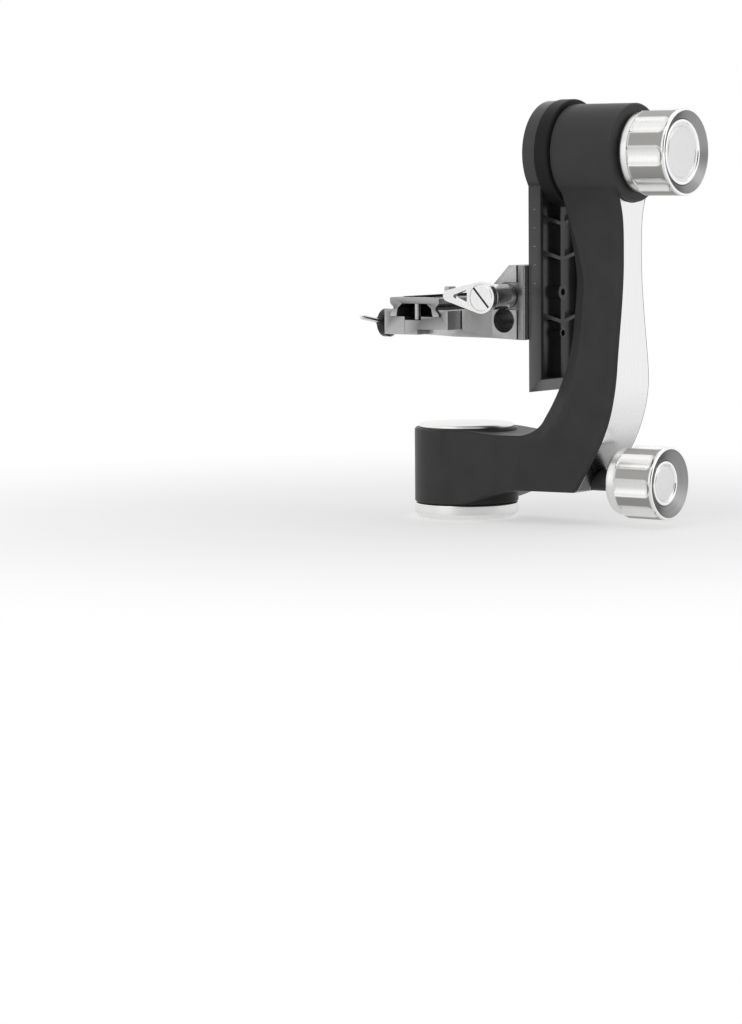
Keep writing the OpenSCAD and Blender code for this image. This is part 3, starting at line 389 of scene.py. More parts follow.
def moulded(name, dark, light, roughness, grain, depth, spec=mouldedSpec):
    finish, tree, shader = newFinish(name)
    cloud = addNoise(tree, spec["cloud"], detail=4)
    low, high = roughness - spec["patchy"], roughness + spec["patchy"]
    tree.links.new(tint(tree, cloud, dark, light), shader.inputs["Base Color"])
    tree.links.new(spread(tree, cloud, low, high), shader.inputs["Roughness"])
    addBump(tree, shader, addNoise(tree, grain, detail=3), spec["relief"], depth)
    return finish


tiltAxis = (0.0, 0.0, 0.2018)
panKnobAxis = (0.0, 0.0, 0.0244)
blackFinish = satinBlack("satinBlackAnodising", satinBlackSpec)
hubFinish = satinBlack("deepBlackAnodising", {**satinBlackSpec, "dark": (0.018, 0.017, 0.0175),
    "light": (0.024, 0.023, 0.0235)})
glossFinish = satinBlack("glossBlackAnodising", {**satinBlackSpec, "dark": (0.009, 0.0085, 0.009),
    "light": (0.014, 0.0135, 0.014), "wornAndHighlit": (0.30, 0.30, 0.30), "roughness": (0.18, 0.26),
    "specular": 0.35})
silverFace = brushedSilver("brushedSilverFace", brushedSpec)
# A painted highlight: a bright line along the edge of the outer face, whose painted shade towards the lower
# end stops at half
highlightLine = brushedSilver("paintedHighlightLine", {**brushedSpec, "paintedShadeLowest": 0.5, "dark": (0.97, 0.97, 0.97),
    "light": (1.0, 1.0, 1.0), "roughness": (0.12, 0.18)})
leverSilver = brushedSilver("satinLever", {**brushedSpec, "paintedShadeLowest": 1.0, "stretch": (0.3, 1, 1), "scale": 2400,
    "dark": (0.80, 0.797, 0.795), "light": (0.88, 0.877, 0.875), "roughness": (0.15, 0.22)})
greyFinish = greyAnodised("greyAnodising", greySpec)
paleGreyFinish = greyAnodised("paleGreyAnodising", {**greySpec, "dark": (0.22, 0.218, 0.22),
    "light": (0.27, 0.268, 0.27)})
jawFinish = greyAnodised("darkGreyAnodising", {**greySpec, "dark": (0.045, 0.0445, 0.045),
    "light": (0.06, 0.0595, 0.06)})
plateFinish = satinBlack("railAnodising", {**satinBlackSpec, "dark": (0.028, 0.0272, 0.028),
    "light": (0.036, 0.0352, 0.036), "wornAndHighlit": (0.30, 0.30, 0.30), "roughness": (0.18, 0.26),
    "specular": 0.35})
steelFinish = plainSteel(steelSpec)
rubberFinish = moulded("blackRubber", (0.02, 0.02, 0.02), (0.03, 0.03, 0.03), 0.7, 2500, 0.0001)
liningFinish = moulded("brakeLining", (0.015, 0.015, 0.015), (0.024, 0.024, 0.024), 0.6, 1800, 0.00006)
markFinish = moulded("markPaint", (0.30, 0.30, 0.30), (0.38, 0.38, 0.38), 0.5, 4000, 0.00001)
brassFinish = turnedMetal("turnedBrass", panKnobAxis, 0, {**turnedMetalSpec, "dark": (0.55, 0.42, 0.18),
    "light": (0.68, 0.53, 0.25)})
baseFinish = turnedMetal("turnedBase", (0, 0, 0), 2, {**turnedMetalSpec, "dark": (0.86, 0.855, 0.85),
    "light": (0.94, 0.937, 0.93)})
capSheen = {**turnedMetalSpec, "dark": (0.74, 0.737, 0.737), "light": (0.79, 0.787, 0.787),
    "roughness": (0.28, 0.33), "streaks": 260}
tiltCapFinish = turnedMetal("turnedTiltCap", tiltAxis, 0, capSheen)
panCapFinish = turnedMetal("turnedPanCap", panKnobAxis, 0, capSheen)
# Painted shade: the dish is a darker copy of the knob's turned metal, with its glare turned down
dishShadedTone = {**turnedMetalSpec, "dark": (0.29, 0.289, 0.289), "light": (0.33, 0.329, 0.328),
    "roughness": (0.30, 0.36)}
tiltDishFinish = turnedMetal("turnedTiltDish", tiltAxis, 0, dishShadedTone)
panDishFinish = turnedMetal("turnedPanDish", panKnobAxis, 0, dishShadedTone)
dishGlare = (0.35, 0.35, 0.35, 1)
for shadedDish in (tiltDishFinish, panDishFinish):
    shadedDish.node_tree.nodes["Principled BSDF"].inputs["Specular Tint"].default_value = dishGlare
rimFinish = brushedSilver("brightTurnedRim", {**brushedSpec, "paintedShadeLowest": 1.0, "dark": (0.93, 0.93, 0.93),
    "light": (0.98, 0.98, 0.98), "roughness": (0.16, 0.22)})
tiltKnobFinish = turnedMetal("turnedTiltKnob", tiltAxis, 0, turnedMetalSpec, knurled=True)
panKnobFinish = turnedMetal("turnedPanKnob", panKnobAxis, 0, turnedMetalSpec, knurled=True)
print("finishes mixed")


# Machined pieces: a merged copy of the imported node, with its edges broken as a machinist would


def finishedMesh(work, name):
    # The evaluated object as a plain mesh, at the origin
    graph = bpy.context.evaluated_depsgraph_get()
    mesh = bpy.data.meshes.new_from_object(work.evaluated_get(graph))
    mesh.name = name
    scratch = work.data
    bpy.data.objects.remove(work)
    bpy.data.meshes.remove(scratch)
    piece = bpy.data.objects.new(name, mesh)
    bpy.context.scene.collection.objects.link(piece)
    return piece


def machined(node, name, finish, edge, flatWithin, angle):
    bm = bmesh.new()
    bm.from_mesh(nodes[node].data)
    bmesh.ops.remove_doubles(bm, verts=bm.verts, dist=weld)
    bmesh.ops.dissolve_limit(bm, angle_limit=math.radians(flatWithin), verts=bm.verts, edges=bm.edges)
    if not edge:
        for line in bm.edges:
            line.smooth = line.calc_face_angle(0) < math.radians(angle)
    mesh = bpy.data.meshes.new(name + "Work")
    bm.to_mesh(mesh)
    bm.free()
    mesh.materials.clear()
    mesh.materials.append(finish)
    mesh.polygons.foreach_set("material_index", [0] * len(mesh.polygons))
    mesh.shade_smooth()
    work = bpy.data.objects.new(name + "Work", mesh)
    bpy.context.scene.collection.objects.link(work)
    if edge:
        bevel = work.modifiers.new("brokenEdges", "BEVEL")
        bevel.width = edge
        bevel.segments = 2
        bevel.limit_method = "ANGLE"
        bevel.angle_limit = math.radians(angle)
        bevel.miter_outer = "MITER_ARC"
    weighted = work.modifiers.new("flatFaces", "WEIGHTED_NORMAL")
    weighted.keep_sharp = True
    piece = finishedMesh(work, name)
    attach(piece, nodes[node]["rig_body"])
    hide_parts(node)
    return piece


machinedSpec = [
    # node, piece, finish, broken edge in mm or 0 for sharp ones, then in degrees:
    # the angle within which faces join, and the angle from which an edge counts as one
    ("base_ring", "baseRing", baseFinish, 0.3, 0.4, 32),
    ("pan_cap", "panCap", baseFinish, 0.25, 0.4, 32),
    ("pan_lock_collar", "panLockCollar", hubFinish, 0.25, 0.4, 32),
    ("tilt_hub", "tiltHub", hubFinish, 0.3, 0.4, 32),
    ("swing_plate", "swingPlate", plateFinish, 0.35, 0.4, 32),
    ("platform_bracket", "platformBracket", paleGreyFinish, 0.3, 0.4, 32),
    ("clamp_base", "clampBase", greyFinish, 0.25, 0.4, 32),
    ("clamp_jaw", "clampJaw", greyFinish, 0.25, 0.4, 32),
    ("height_jaw", "heightJaw", jawFinish, 0.25, 0.4, 32),
    ("height_lock_barrel", "heightLockBarrel", leverSilver, 0.2, 0.4, 32),
    ("height_lever", "heightLever", leverSilver, 0.35, 0.4, 32),
    ("height_lever_screw", "heightLeverScrew", leverSilver, 0.15, 0.4, 32),
    ("clamp_lever", "clampLever", leverSilver, 0.3, 0.4, 32),
    ("clamp_lever_screw", "clampLeverScrew", leverSilver, 0.15, 0.4, 32),
    ("quick_release_plate", "quickReleasePlate", greyFinish, 0.25, 0.4, 32),
    ("front_camera_screw", "frontCameraScrew", steelFinish, 0.15, 0.4, 32),
    ("rear_camera_screw", "rearCameraScrew", steelFinish, 0.15, 0.4, 32),
    ("c_arm", "cArm", blackFinish, 0, 0.02, 17),
]
pieces = {p: machined(n, p, f, e * mm, flat, turn) for n, p, f, e, flat, turn in machinedSpec}
print("machined pieces dressed:", len(pieces))


def addFinishes(piece, *finishes):
    for finish in finishes:
        piece.data.materials.append(finish)
    return range(len(piece.data.materials) - len(finishes), len(piece.data.materials))


outerFaceSpec = {
    "blackWidth": 0.45, "highlightWidth": 0.35, "lowest": 0.0186, "highest": 0.185, "nearest": 0.08,
    "outward": 0.35, "sideways": 0.3, "downward": -0.2,
    "housing": 0.0266, "housingFace": 0.1101, "bossEnd": 0.0066,
}


def paintOuterFace(piece, finish, highlightFinish, spec):
    # The upright's outer face is bare brushed metal; inside its black chamfers a bright line is a painted
    # highlight along the edge
    bm = bmesh.new()
    bm.from_mesh(piece.data)
    outer = []
    for face in bm.faces:
        c, n = face.calc_center_median(), face.normal
        turnedOut = n.x > spec["outward"] and abs(n.y) < spec["sideways"]
        onUpright = c.x > spec["nearest"] and spec["lowest"] < c.z < spec["highest"]
        offHousing = math.hypot(c.y, c.z - tiltAxis[2]) > spec["housing"] or c.x < spec["housingFace"]
        offBoss = math.hypot(c.y, c.z - panKnobAxis[2]) > spec["bossEnd"] or n.z < spec["downward"]
        if turnedOut and onUpright and offHousing and offBoss:
            face.material_index = 1
            outer.append(face)
    for width, slot in ((spec["blackWidth"], 0), (spec["highlightWidth"], 2)):
        rim = bmesh.ops.inset_region(bm, faces=outer, thickness=width * mm, use_even_offset=True,
            use_boundary=True)["faces"]
        for face in rim:
            face.material_index = slot
            face.smooth = True
    bm.to_mesh(piece.data)
    bm.free()
    piece.data.materials.append(finish)
    piece.data.materials.append(highlightFinish)


paintOuterFace(pieces["cArm"], silverFace, highlightLine, outerFaceSpec)


def paintHub(piece, node, finish, radius):
    # The clamp lever's hub is black round the bright screw; only its handle is left bare
    low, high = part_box(node)
    y, z = (low[1] + high[1]) / 2, (low[2] + high[2]) / 2
    hub, = addFinishes(piece, finish)
    for face in piece.data.polygons:
        if math.hypot(face.center.y - y, face.center.z - z) < radius:
            face.material_index = hub


leverHubRadius = 8.6 * mm
paintHub(pieces["clampLever"], "clamp_lever_screw", glossFinish, leverHubRadius)


slotFloor = 0.3 * mm


def paintScrew(piece, finish, axis, outward):
    # What lies below a lever screw's front, such as its slot, and its sides are painted dark: painted shade
    # in the slot and round the screw
    dark, = addFinishes(piece, finish)
    front = max(outward * v.co[axis] for v in piece.data.vertices)
    for face in piece.data.polygons:
        below = outward * face.center[axis] < front - slotFloor
        if below or abs(face.normal[axis]) < 0.5:
            face.material_index = dark


paintScrew(pieces["heightLeverScrew"], glossFinish, 1, -1)
paintScrew(pieces["clampLeverScrew"], glossFinish, 0, -1)


# Geometry Nodes: what is turned on a lathe, and what repeats


def newTree(name, sizes):
    tree = bpy.data.node_groups.new(name, "GeometryNodeTree")
    tree.interface.new_socket("Geometry", in_out="INPUT", socket_type="NodeSocketGeometry")
    for label, kind in sizes:
        tree.interface.new_socket(label, in_out="INPUT", socket_type="NodeSocket" + kind)
    tree.interface.new_socket("Geometry", in_out="OUTPUT", socket_type="NodeSocketGeometry")
    return tree, addNode(tree, "NodeGroupInput").outputs


def endTree(tree, geometry, finish):
    real = addNode(tree, "GeometryNodeRealizeInstances", {"Geometry": geometry}).outputs[0]
    dressed = addNode(tree, "GeometryNodeSetMaterial", {"Geometry": real, "Material": finish}).outputs[0]
    addNode(tree, "NodeGroupOutput", {"Geometry": dressed})


def runTree(tree, start, name, sizes):
    work = bpy.data.objects.new(name + "Work", start)
    bpy.context.scene.collection.objects.link(work)
    modifier = work.modifiers.new("build", "NODES")
    modifier.node_group = tree
    for item in tree.interface.items_tree:
        if item.in_out == "INPUT" and item.name in sizes:
            modifier[item.identifier] = sizes[item.name]
    return finishedMesh(work, name)


def turnedTree():
    # Spins a profile (X radius, Y pattern, Z length) round Z; pattern 1 is fluted, -1 is a hexagon
    tree, size = newTree("turnedPiece", [
        ("Around", "Int"), ("Flutes", "Int"), ("Cutter", "Float"), ("Cutter At", "Float"),
        ("Cutter Start", "Float"), ("Cutter End", "Float"), ("Run Out", "Float"), ("Soft Edge", "Float"),
        ("Turn", "Float"), ("Grip From", "Float"), ("Grip To", "Float"), ("Aim", "Rotation"),
        ("Place", "Vector"), ("Finish", "Material")])
    profile = size["Geometry"]
    count = addNode(tree, "GeometryNodeAttributeDomainSize", {"Geometry": profile}).outputs["Point Count"]
    grid = addNode(tree, "GeometryNodeMeshGrid",
        {"Vertices X": reckon(tree, "ADD", size["Around"], 1), "Vertices Y": count}).outputs["Mesh"]
    index = addNode(tree, "GeometryNodeInputIndex").outputs[0]
    row = reckon(tree, "FLOOR", reckon(tree, "DIVIDE", reckon(tree, "ADD", index, 0.5), count))
    column = reckon(tree, "SUBTRACT", reckon(tree, "ADD", index, 0.5), reckon(tree, "MULTIPLY", row, count))
    spot = addNode(tree, "GeometryNodeInputPosition").outputs[0]
    sample = addNode(tree, "GeometryNodeSampleIndex",
        {"Geometry": profile, "Value": spot, "Index": reckon(tree, "FLOOR", column)},
        data_type="FLOAT_VECTOR")
    radius, pattern, length = addNode(tree, "ShaderNodeSeparateXYZ", {0: sample.outputs[0]}).outputs
    angle = reckon(tree, "MULTIPLY", row, reckon(tree, "DIVIDE", 2 * math.pi, size["Around"]))
    half = reckon(tree, "DIVIDE", math.pi, size["Flutes"])
    offset = reckon(tree, "SUBTRACT", angle, size["Turn"])
    wedge = reckon(tree, "WRAP", offset, half, reckon(tree, "MULTIPLY", half, -1))
    beside = reckon(tree, "MULTIPLY", size["Cutter At"], reckon(tree, "SINE", wedge))
    beyond = reckon(tree, "MAXIMUM", reckon(tree, "SUBTRACT", length, size["Cutter End"]),
        reckon(tree, "SUBTRACT", size["Cutter Start"], length))
    beyond = reckon(tree, "MULTIPLY", reckon(tree, "MAXIMUM", beyond, 0), size["Run Out"])
    reach = reckon(tree, "SUBTRACT", reckon(tree, "MULTIPLY", size["Cutter"], size["Cutter"]),
        reckon(tree, "MULTIPLY", beyond, beyond))
    chord = reckon(tree, "SQRT", reckon(tree, "MAXIMUM",
        reckon(tree, "SUBTRACT", reach, reckon(tree, "MULTIPLY", beside, beside)), 0))
    ahead = reckon(tree, "MULTIPLY", size["Cutter At"], reckon(tree, "COSINE", wedge))
    flute = reckon(tree, "SUBTRACT", ahead, chord)
    cut = reckon(tree, "SMOOTH_MIN", radius, flute, size["Soft Edge"])
    sixth = math.pi / 6
    corner = reckon(tree, "COSINE", reckon(tree, "WRAP", angle, sixth, -sixth))
    hexagon = reckon(tree, "DIVIDE", radius, corner)
    fluted = reckon(tree, "MAXIMUM", pattern, 0)
    sided = reckon(tree, "MAXIMUM", reckon(tree, "MULTIPLY", pattern, -1), 0)
    r = reckon(tree, "MULTIPLY_ADD", reckon(tree, "SUBTRACT", cut, radius), fluted, radius)
    r = reckon(tree, "MULTIPLY_ADD", reckon(tree, "SUBTRACT", hexagon, radius), sided, r)
    place = addNode(tree, "ShaderNodeCombineXYZ", {
        0: reckon(tree, "MULTIPLY", r, reckon(tree, "COSINE", angle)),
        1: reckon(tree, "MULTIPLY", r, reckon(tree, "SINE", angle)), 2: length}).outputs[0]
    spun = addNode(tree, "GeometryNodeSetPosition", {"Geometry": grid, "Position": place}).outputs[0]
    # The grip covers what the flutes leave uncut, and fades over half a millimetre
    fade = 0.0005
    uncut = 0.0002
    high = addNode(tree, "ShaderNodeMapRange", {"Value": reckon(tree, "SUBTRACT", flute, radius),
        "From Min": uncut, "From Max": uncut + fade}).outputs[0]
    start = addNode(tree, "ShaderNodeMapRange", {"Value": reckon(tree, "SUBTRACT", length, size["Grip From"]),
        "From Min": 0, "From Max": fade}).outputs[0]
    stop = addNode(tree, "ShaderNodeMapRange", {"Value": reckon(tree, "SUBTRACT", size["Grip To"], length),
        "From Min": 0, "From Max": fade}).outputs[0]
    inside = reckon(tree, "MULTIPLY", start, stop)
    grip = reckon(tree, "MULTIPLY", reckon(tree, "MULTIPLY", high, fluted), inside)
    marked = addNode(tree, "GeometryNodeStoreNamedAttribute",
        {"Geometry": spun, "Name": "grip", "Value": grip}, data_type="FLOAT", domain="POINT").outputs[0]
    closed = addNode(tree, "GeometryNodeMergeByDistance", {"Geometry": marked, "Distance": weld}).outputs[0]
    smooth = addNode(tree, "GeometryNodeSetShadeSmooth", {"Geometry": closed}).outputs[0]
    moved = addNode(tree, "GeometryNodeTransform",
        {"Geometry": smooth, "Translation": size["Place"], "Rotation": size["Aim"]}).outputs[0]
    endTree(tree, moved, size["Finish"])
    return tree


def roundedProfile(name, corners, step):
    # Corners are (radius, length, fillet, pattern of the run that ends there), all in mm
    points = []
    for i, (r, z, fillet, pattern) in enumerate(corners):
        here = Vector((r, z))
        if fillet and 0 < i < len(corners) - 1:
            back = (Vector(corners[i - 1][:2]) - here).normalized()
            on = (Vector(corners[i + 1][:2]) - here).normalized()
            half = back.angle(on) / 2
            reach = fillet / math.tan(half)
            middle = here + (back + on).normalized() * fillet / math.sin(half)
            arms = [(here + way * reach) - middle for way in (back, on)]
            for k in range(5):
                arm = arms[0].lerp(arms[1], k / 4).normalized() * fillet
                points.append((middle + arm, pattern if k < 4 else corners[i + 1][3]))
        else:
            points.append((here, pattern))
    dense = [points[0]]
    for (a, _), (b, pattern) in zip(points, points[1:]):
        pieces = max(1, math.ceil((b - a).length / step))
        dense += [(a.lerp(b, k / pieces), pattern) for k in range(1, pieces + 1)]
    mesh = bpy.data.meshes.new(name)
    edges = [(i, i + 1) for i in range(len(dense) - 1)]
    mesh.from_pydata([(p.x * mm, w, p.y * mm) for p, w in dense], edges, [])
    return mesh


turned = turnedTree()
aimX = (0.0, math.pi / 2, 0.0)
aimZ = (0.0, 0.0, 0.0)
unfluted = {
    "Flutes": 8, "Cutter": 0.001, "Cutter At": 1.0, "Cutter Start": 0.0, "Cutter End": 1.0, "Run Out": 1.0,
    "Soft Edge": 0.0, "Turn": 0.0, "Grip From": 1.0, "Grip To": 1.0,
}


def knob(node, name, finish, dishFinish, dishRadius, dishDepth, boreRadius, boreDepth, spec):
    low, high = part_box(node)
    axisZ = (low[2] + high[2]) / 2
    length = (high[0] - low[0]) / mm
    r = (high[2] - low[2]) / 2 / mm
    bell = spec["bell"] * length
    cutter = spec["cutter"] * r
    runOut = math.sqrt(cutter ** 2 - (cutter - spec["fluteDepth"]) ** 2) / spec["runOut"]
    seat = length - dishDepth - spec["capSeat"]
    ring = r - spec["skirt"]
    corners = [
        (0, boreDepth, 0, 0), (boreRadius, boreDepth, 0, 0), (boreRadius, 0, 0.3, 0),
        (ring, 0, 1.6, 0), (ring, bell, 0.8, 0), (r, bell + 0.9, 0.6, 1),
        (r, length, 0.9, 1), (r - spec["lip"], length, 0.35, 0),
        (dishRadius, length - dishDepth, 0, 0), (dishRadius, seat, 0, 0), (0, seat, 0, 0)]
    profile = roundedProfile(name + "Profile", corners, spec["step"])
    piece = runTree(turned, profile, name, {
        "Around": spec["around"], "Flutes": spec["flutes"], "Cutter": cutter * mm,
        "Cutter At": (r + cutter - spec["fluteDepth"]) * mm,
        "Cutter Start": (spec["fluteStart"] * length + runOut) * mm,
        "Cutter End": (spec["fluteEnd"] * length - runOut) * mm, "Run Out": spec["runOut"],
        "Soft Edge": spec["softEdge"] * mm, "Turn": math.radians(spec["turn"]),
        "Grip From": (bell + spec["gripAfter"]) * mm,
        "Grip To": (spec["fluteEnd"] * length - spec["gripBefore"]) * mm,
        "Aim": aimX, "Place": (low[0], 0.0, axisZ), "Finish": finish})
    dish, rim = addFinishes(piece, dishFinish, rimFinish)
    for face in piece.data.polygons:
        out = math.hypot(face.center.y, face.center.z - axisZ) / mm
        if dishRadius < out < r - spec["lip"] and face.center.x > high[0] - (dishDepth + 0.2) * mm:
            face.material_index = dish
        elif face.center.x > high[0] - spec["rimWidth"] * mm:
            face.material_index = rim
    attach(piece, nodes[node]["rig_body"])
    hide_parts(node)


knobSpec = {
    # Shares of the length, and of the radius for the cutter; a start below 0 leaves flutes open behind
    "bell": 0.19, "fluteStart": -0.5, "fluteEnd": 0.965, "cutter": 0.36,
    "around": 384, "step": 0.55, "flutes": 8, "fluteDepth": 2.3, "runOut": 1.5, "softEdge": 0.6, "turn": 5.0,
    "skirt": 1.7, "lip": 1.2, "capSeat": 2.2, "gripAfter": 1.4, "gripBefore": 0.3, "rimWidth": 0.3,
}
# Radius and depth of the dish, then of the bore, in mm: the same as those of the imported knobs
knob("tilt_knob", "tiltKnob", tiltKnobFinish, tiltDishFinish, 17.6, 2.9, 6.05, 14.5, knobSpec)
knob("pan_knob", "panKnob", panKnobFinish, panDishFinish, 12.2, 3.4, 4.27, 12.5, knobSpec)


def knobCap(node, name, finish, spec):
    low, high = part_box(node)
    r = (high[2] - low[2]) / 2 / mm
    t = (high[0] - low[0]) / mm
    axisZ = (low[2] + high[2]) / 2
    groove = spec["groove"] * r
    inner = r - spec["beadWidth"]
    corners = [
        (0, 0, 0, 0), (r, 0, 0.2, 0), (r, t + spec["bead"], 0.5, 0), (inner, t + spec["bead"], 0.5, 0),
        (inner - 0.4, t, 0.2, 0), (groove + 0.4, t, 0.1, 0), (groove, t - 0.35, 0.1, 0),
        (groove - 0.4, t, 0.1, 0), (0, t - 0.05, 0, 0)]
    profile = roundedProfile(name + "Profile", corners, spec["step"])
    piece = runTree(turned, profile, name, {
        **unfluted, "Around": spec["around"], "Aim": aimX, "Place": (low[0], 0.0, axisZ), "Finish": finish})
    bead, = addFinishes(piece, rimFinish)
    for face in piece.data.polygons:
        if math.hypot(face.center.y, face.center.z - axisZ) / mm > inner - 0.5:
            face.material_index = bead
    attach(piece, nodes[node]["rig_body"])
    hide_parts(node)


capSpec = {"around": 256, "step": 0.8, "groove": 0.78, "bead": 0.7, "beadWidth": 1.5}
knobCap("tilt_knob_cap", "tiltKnobCap", tiltCapFinish, capSpec)
knobCap("pan_knob_cap", "panKnobCap", panCapFinish, capSpec)
print("knobs turned")


def ringTree():
    # Copies of one piece in a ring, each turned to face along Aim
    tree, size = newTree("ringOfCopies", [
        ("Count", "Int"), ("Ring Radius", "Float"), ("Start", "Rotation"), ("Aim", "Rotation"),
        ("Place", "Vector"), ("Finish", "Material")])
    ring = addNode(tree, "GeometryNodeMeshCircle",
        {"Vertices": size["Count"], "Radius": size["Ring Radius"]}).outputs[0]
    copies = addNode(tree, "GeometryNodeInstanceOnPoints",
        {"Points": ring, "Instance": size["Geometry"]}).outputs[0]
    begun = addNode(tree, "GeometryNodeTransform",
        {"Geometry": copies, "Rotation": size["Start"]}).outputs[0]
    aimed = addNode(tree, "GeometryNodeTransform",
        {"Geometry": begun, "Rotation": size["Aim"], "Translation": size["Place"]}).outputs[0]
    endTree(tree, aimed, size["Finish"])
    return tree


def rowTree():
    # Copies of one piece in a row
    tree, size = newTree("rowOfCopies", [
        ("Count", "Int"), ("First", "Vector"), ("Step", "Vector"), ("Aim", "Rotation"),
        ("Finish", "Material")])
    line = addNode(tree, "GeometryNodeMeshLine",
        {"Count": size["Count"], "Start Location": size["First"], "Offset": size["Step"]}).outputs[0]
    copies = addNode(tree, "GeometryNodeInstanceOnPoints",
        {"Points": line, "Instance": size["Geometry"], "Rotation": size["Aim"]}).outputs[0]
    endTree(tree, copies, size["Finish"])
    return tree


ringOfCopies = ringTree()
rowOfCopies = rowTree()


def socketScrew(name, spec):
    # One screw standing on z = 0 under its head, turned, with a hexagon socket
    headR, headH, shankR = spec["headRadius"], spec["headHeight"], spec["shankRadius"]
    shankL, socket = spec["shankLength"], spec["socket"]
    floorZ = 0.45 * headH
    corners = [
        (0, -shankL, 0, 0), (shankR, -shankL, 0.3, 0), (shankR, 0, 0, 0), (headR, 0, 0.15, 0),
        (headR, headH, 0.35, 0), (socket * 1.2, headH, 0, 0), (socket, headH - 0.15, 0, -1),
        (socket, floorZ, 0, -1), (0, floorZ - 0.2, 0, 0)]
    piece = runTree(turned, roundedProfile(name + "Profile", corners, 3.0), name, {
        **unfluted, "Around": 48, "Aim": aimZ, "Place": (0.0, 0.0, 0.0), "Finish": steelFinish})
    mesh = piece.data
    bpy.data.objects.remove(piece)
    return mesh


def placed(piece, node):
    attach(piece, nodes[node]["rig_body"])
    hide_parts(node)


hubScrewSpec = {"headRadius": 3.5, "headHeight": 3.9, "shankRadius": 2.0, "shankLength": 8.5, "socket": 1.3,
    "count": 4, "ring": 20.0, "start": 45.0, "headX": 61.9}
hubScrews = runTree(ringOfCopies, socketScrew("hubScrew", hubScrewSpec), "hubScrews", {
    "Count": hubScrewSpec["count"], "Ring Radius": hubScrewSpec["ring"] * mm,
    "Start": (0.0, 0.0, math.radians(hubScrewSpec["start"])), "Aim": (0.0, -math.pi / 2, 0.0),
    "Place": (hubScrewSpec["headX"] * mm, 0.0, tiltAxis[2]), "Finish": steelFinish})
placed(hubScrews, "hub_screws")


baseScrewSpec = {"headRadius": 2.9, "headHeight": 2.8, "shankRadius": 1.5, "shankLength": 11.0,
    "socket": 1.13, "count": 3, "ring": 11.0, "start": 30.0, "headZ": 3.4}
baseScrews = runTree(ringOfCopies, socketScrew("baseScrew", baseScrewSpec), "baseScrews", {
    "Count": baseScrewSpec["count"], "Ring Radius": baseScrewSpec["ring"] * mm,
    "Start": (0.0, 0.0, math.radians(-baseScrewSpec["start"])), "Aim": (math.pi, 0.0, 0.0),
    "Place": (0.0, 0.0, baseScrewSpec["headZ"] * mm), "Finish": steelFinish})
placed(baseScrews, "spindle_screws")


markSpec = {
    "face": -22.5, "x": 61.5, "lowest": 131.7, "step": 10.0, "count": 5,
    "size": (1.5, 0.04, 0.25), "edge": 0.015,
}


def scaleMarks(spec):
    # Pale lines of a height scale on the swing plate's front face; number and spacing are approximate
    bm = bmesh.new()
    bmesh.ops.create_cube(bm, size=1.0)
    bmesh.ops.scale(bm, vec=[v * mm for v in spec["size"]], verts=bm.verts)
    bmesh.ops.bevel(bm, geom=bm.edges[:], offset=spec["edge"] * mm, segments=1)
    mark = bpy.data.meshes.new("mark")
    bm.to_mesh(mark)
    bm.free()
    piece = runTree(rowOfCopies, mark, "scaleMarks", {
        "Count": spec["count"], "First": (spec["x"] * mm, spec["face"] * mm, spec["lowest"] * mm),
        "Step": (0.0, 0.0, spec["step"] * mm), "Aim": aimZ, "Finish": markFinish})
    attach(piece, "swing_arm")


scaleMarks(markSpec)


gripSpec = {"rib": 0.35, "gap": 0.55, "height": 0.3, "inset": 0.3, "edge": 0.1}


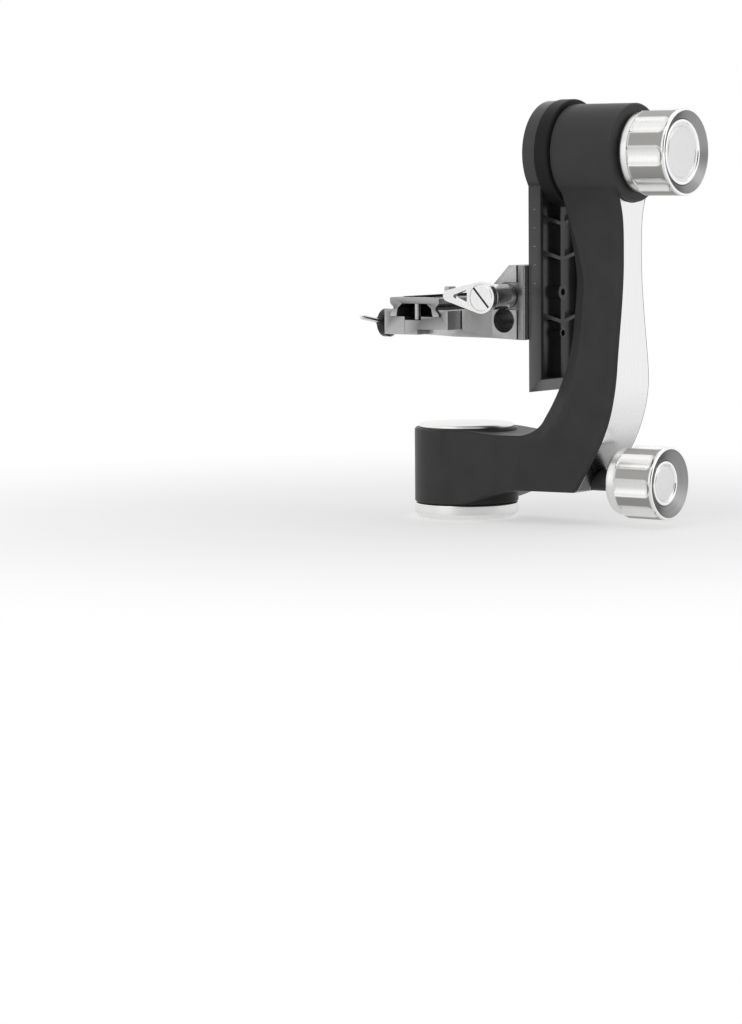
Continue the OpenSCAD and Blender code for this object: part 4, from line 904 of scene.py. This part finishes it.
def ribbedGrips(node, name, spec):
    # Rubber strips with fine cross ribs, no higher than the strips of the frame
    source = bmesh.new()
    source.from_mesh(nodes[node].data)
    bmesh.ops.remove_doubles(source, verts=source.verts, dist=weld)
    strips, seen = [], set()
    for vertex in source.verts:
        if vertex in seen:
            continue
        island, edge = {vertex}, [vertex]
        while edge:
            near = [e.other_vert(v) for v in edge for e in v.link_edges]
            edge = [v for v in set(near) if v not in island]
            island.update(edge)
        seen |= island
        strips.append([(min(v.co[i] for v in island), max(v.co[i] for v in island)) for i in range(3)])
    source.free()
    whole = bmesh.new()
    for (x0, x1), (y0, y1), (z0, z1) in strips:
        top = z1 - spec["height"] * mm
        made = bmesh.ops.create_cube(whole, size=1.0)["verts"]
        bmesh.ops.scale(whole, vec=(x1 - x0, y1 - y0, top - z0), verts=made)
        bmesh.ops.translate(whole, vec=((x0 + x1) / 2, (y0 + y1) / 2, (z0 + top) / 2), verts=made)
        unit = bmesh.new()
        rib = bmesh.ops.create_cube(unit, size=1.0)["verts"]
        size = (x1 - x0 - spec["inset"] * mm, spec["rib"] * mm, 2 * spec["height"] * mm)
        bmesh.ops.scale(unit, vec=size, verts=rib)
        bmesh.ops.bevel(unit, geom=unit.edges[:], offset=spec["edge"] * mm, segments=2)
        mesh = bpy.data.meshes.new("rib")
        unit.to_mesh(mesh)
        unit.free()
        pitch = (spec["rib"] + spec["gap"]) * mm
        count = int((y1 - y0 - pitch) / pitch)
        first = (y0 + y1) / 2 - pitch * (count - 1) / 2
        row = runTree(rowOfCopies, mesh, "ribs", {
            "Count": count, "First": ((x0 + x1) / 2, first, top), "Step": (0.0, pitch, 0.0),
            "Aim": aimZ, "Finish": rubberFinish})
        whole.from_mesh(row.data)
        bpy.data.objects.remove(row)
    grips = bpy.data.meshes.new(name)
    whole.to_mesh(grips)
    whole.free()
    grips.materials.append(rubberFinish)
    piece = bpy.data.objects.new(name, grips)
    bpy.context.scene.collection.objects.link(piece)
    placed(piece, node)


ribbedGrips("plate_grip_strips", "gripStrips", gripSpec)
print("screws, marks and ribs repeated")


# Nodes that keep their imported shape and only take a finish
plainNodes = {
    "pan_spindle": steelFinish, "pan_thrust_washer": rubberFinish,
    "pan_bearing_lower": steelFinish, "pan_bearing_upper": steelFinish, "pan_retaining_nut": steelFinish,
    "pan_brake_pad": brassFinish, "pan_lock_screw": steelFinish, "tilt_bearing_inner": steelFinish,
    "tilt_bearing_outer": steelFinish, "tilt_shaft": steelFinish,
    "rail_stop_screws": steelFinish, "tilt_brake_disc": liningFinish, "clamp_base_screws": steelFinish,
    "clamp_guide_pins": steelFinish, "height_lock_bolt": steelFinish, "clamp_bolt": steelFinish,
    "safety_pins": steelFinish,
}
for node, finish in plainNodes.items():
    mesh = nodes[node].data
    mesh.materials.clear()
    mesh.materials.append(finish)
print("plain nodes finished:", len(plainNodes))
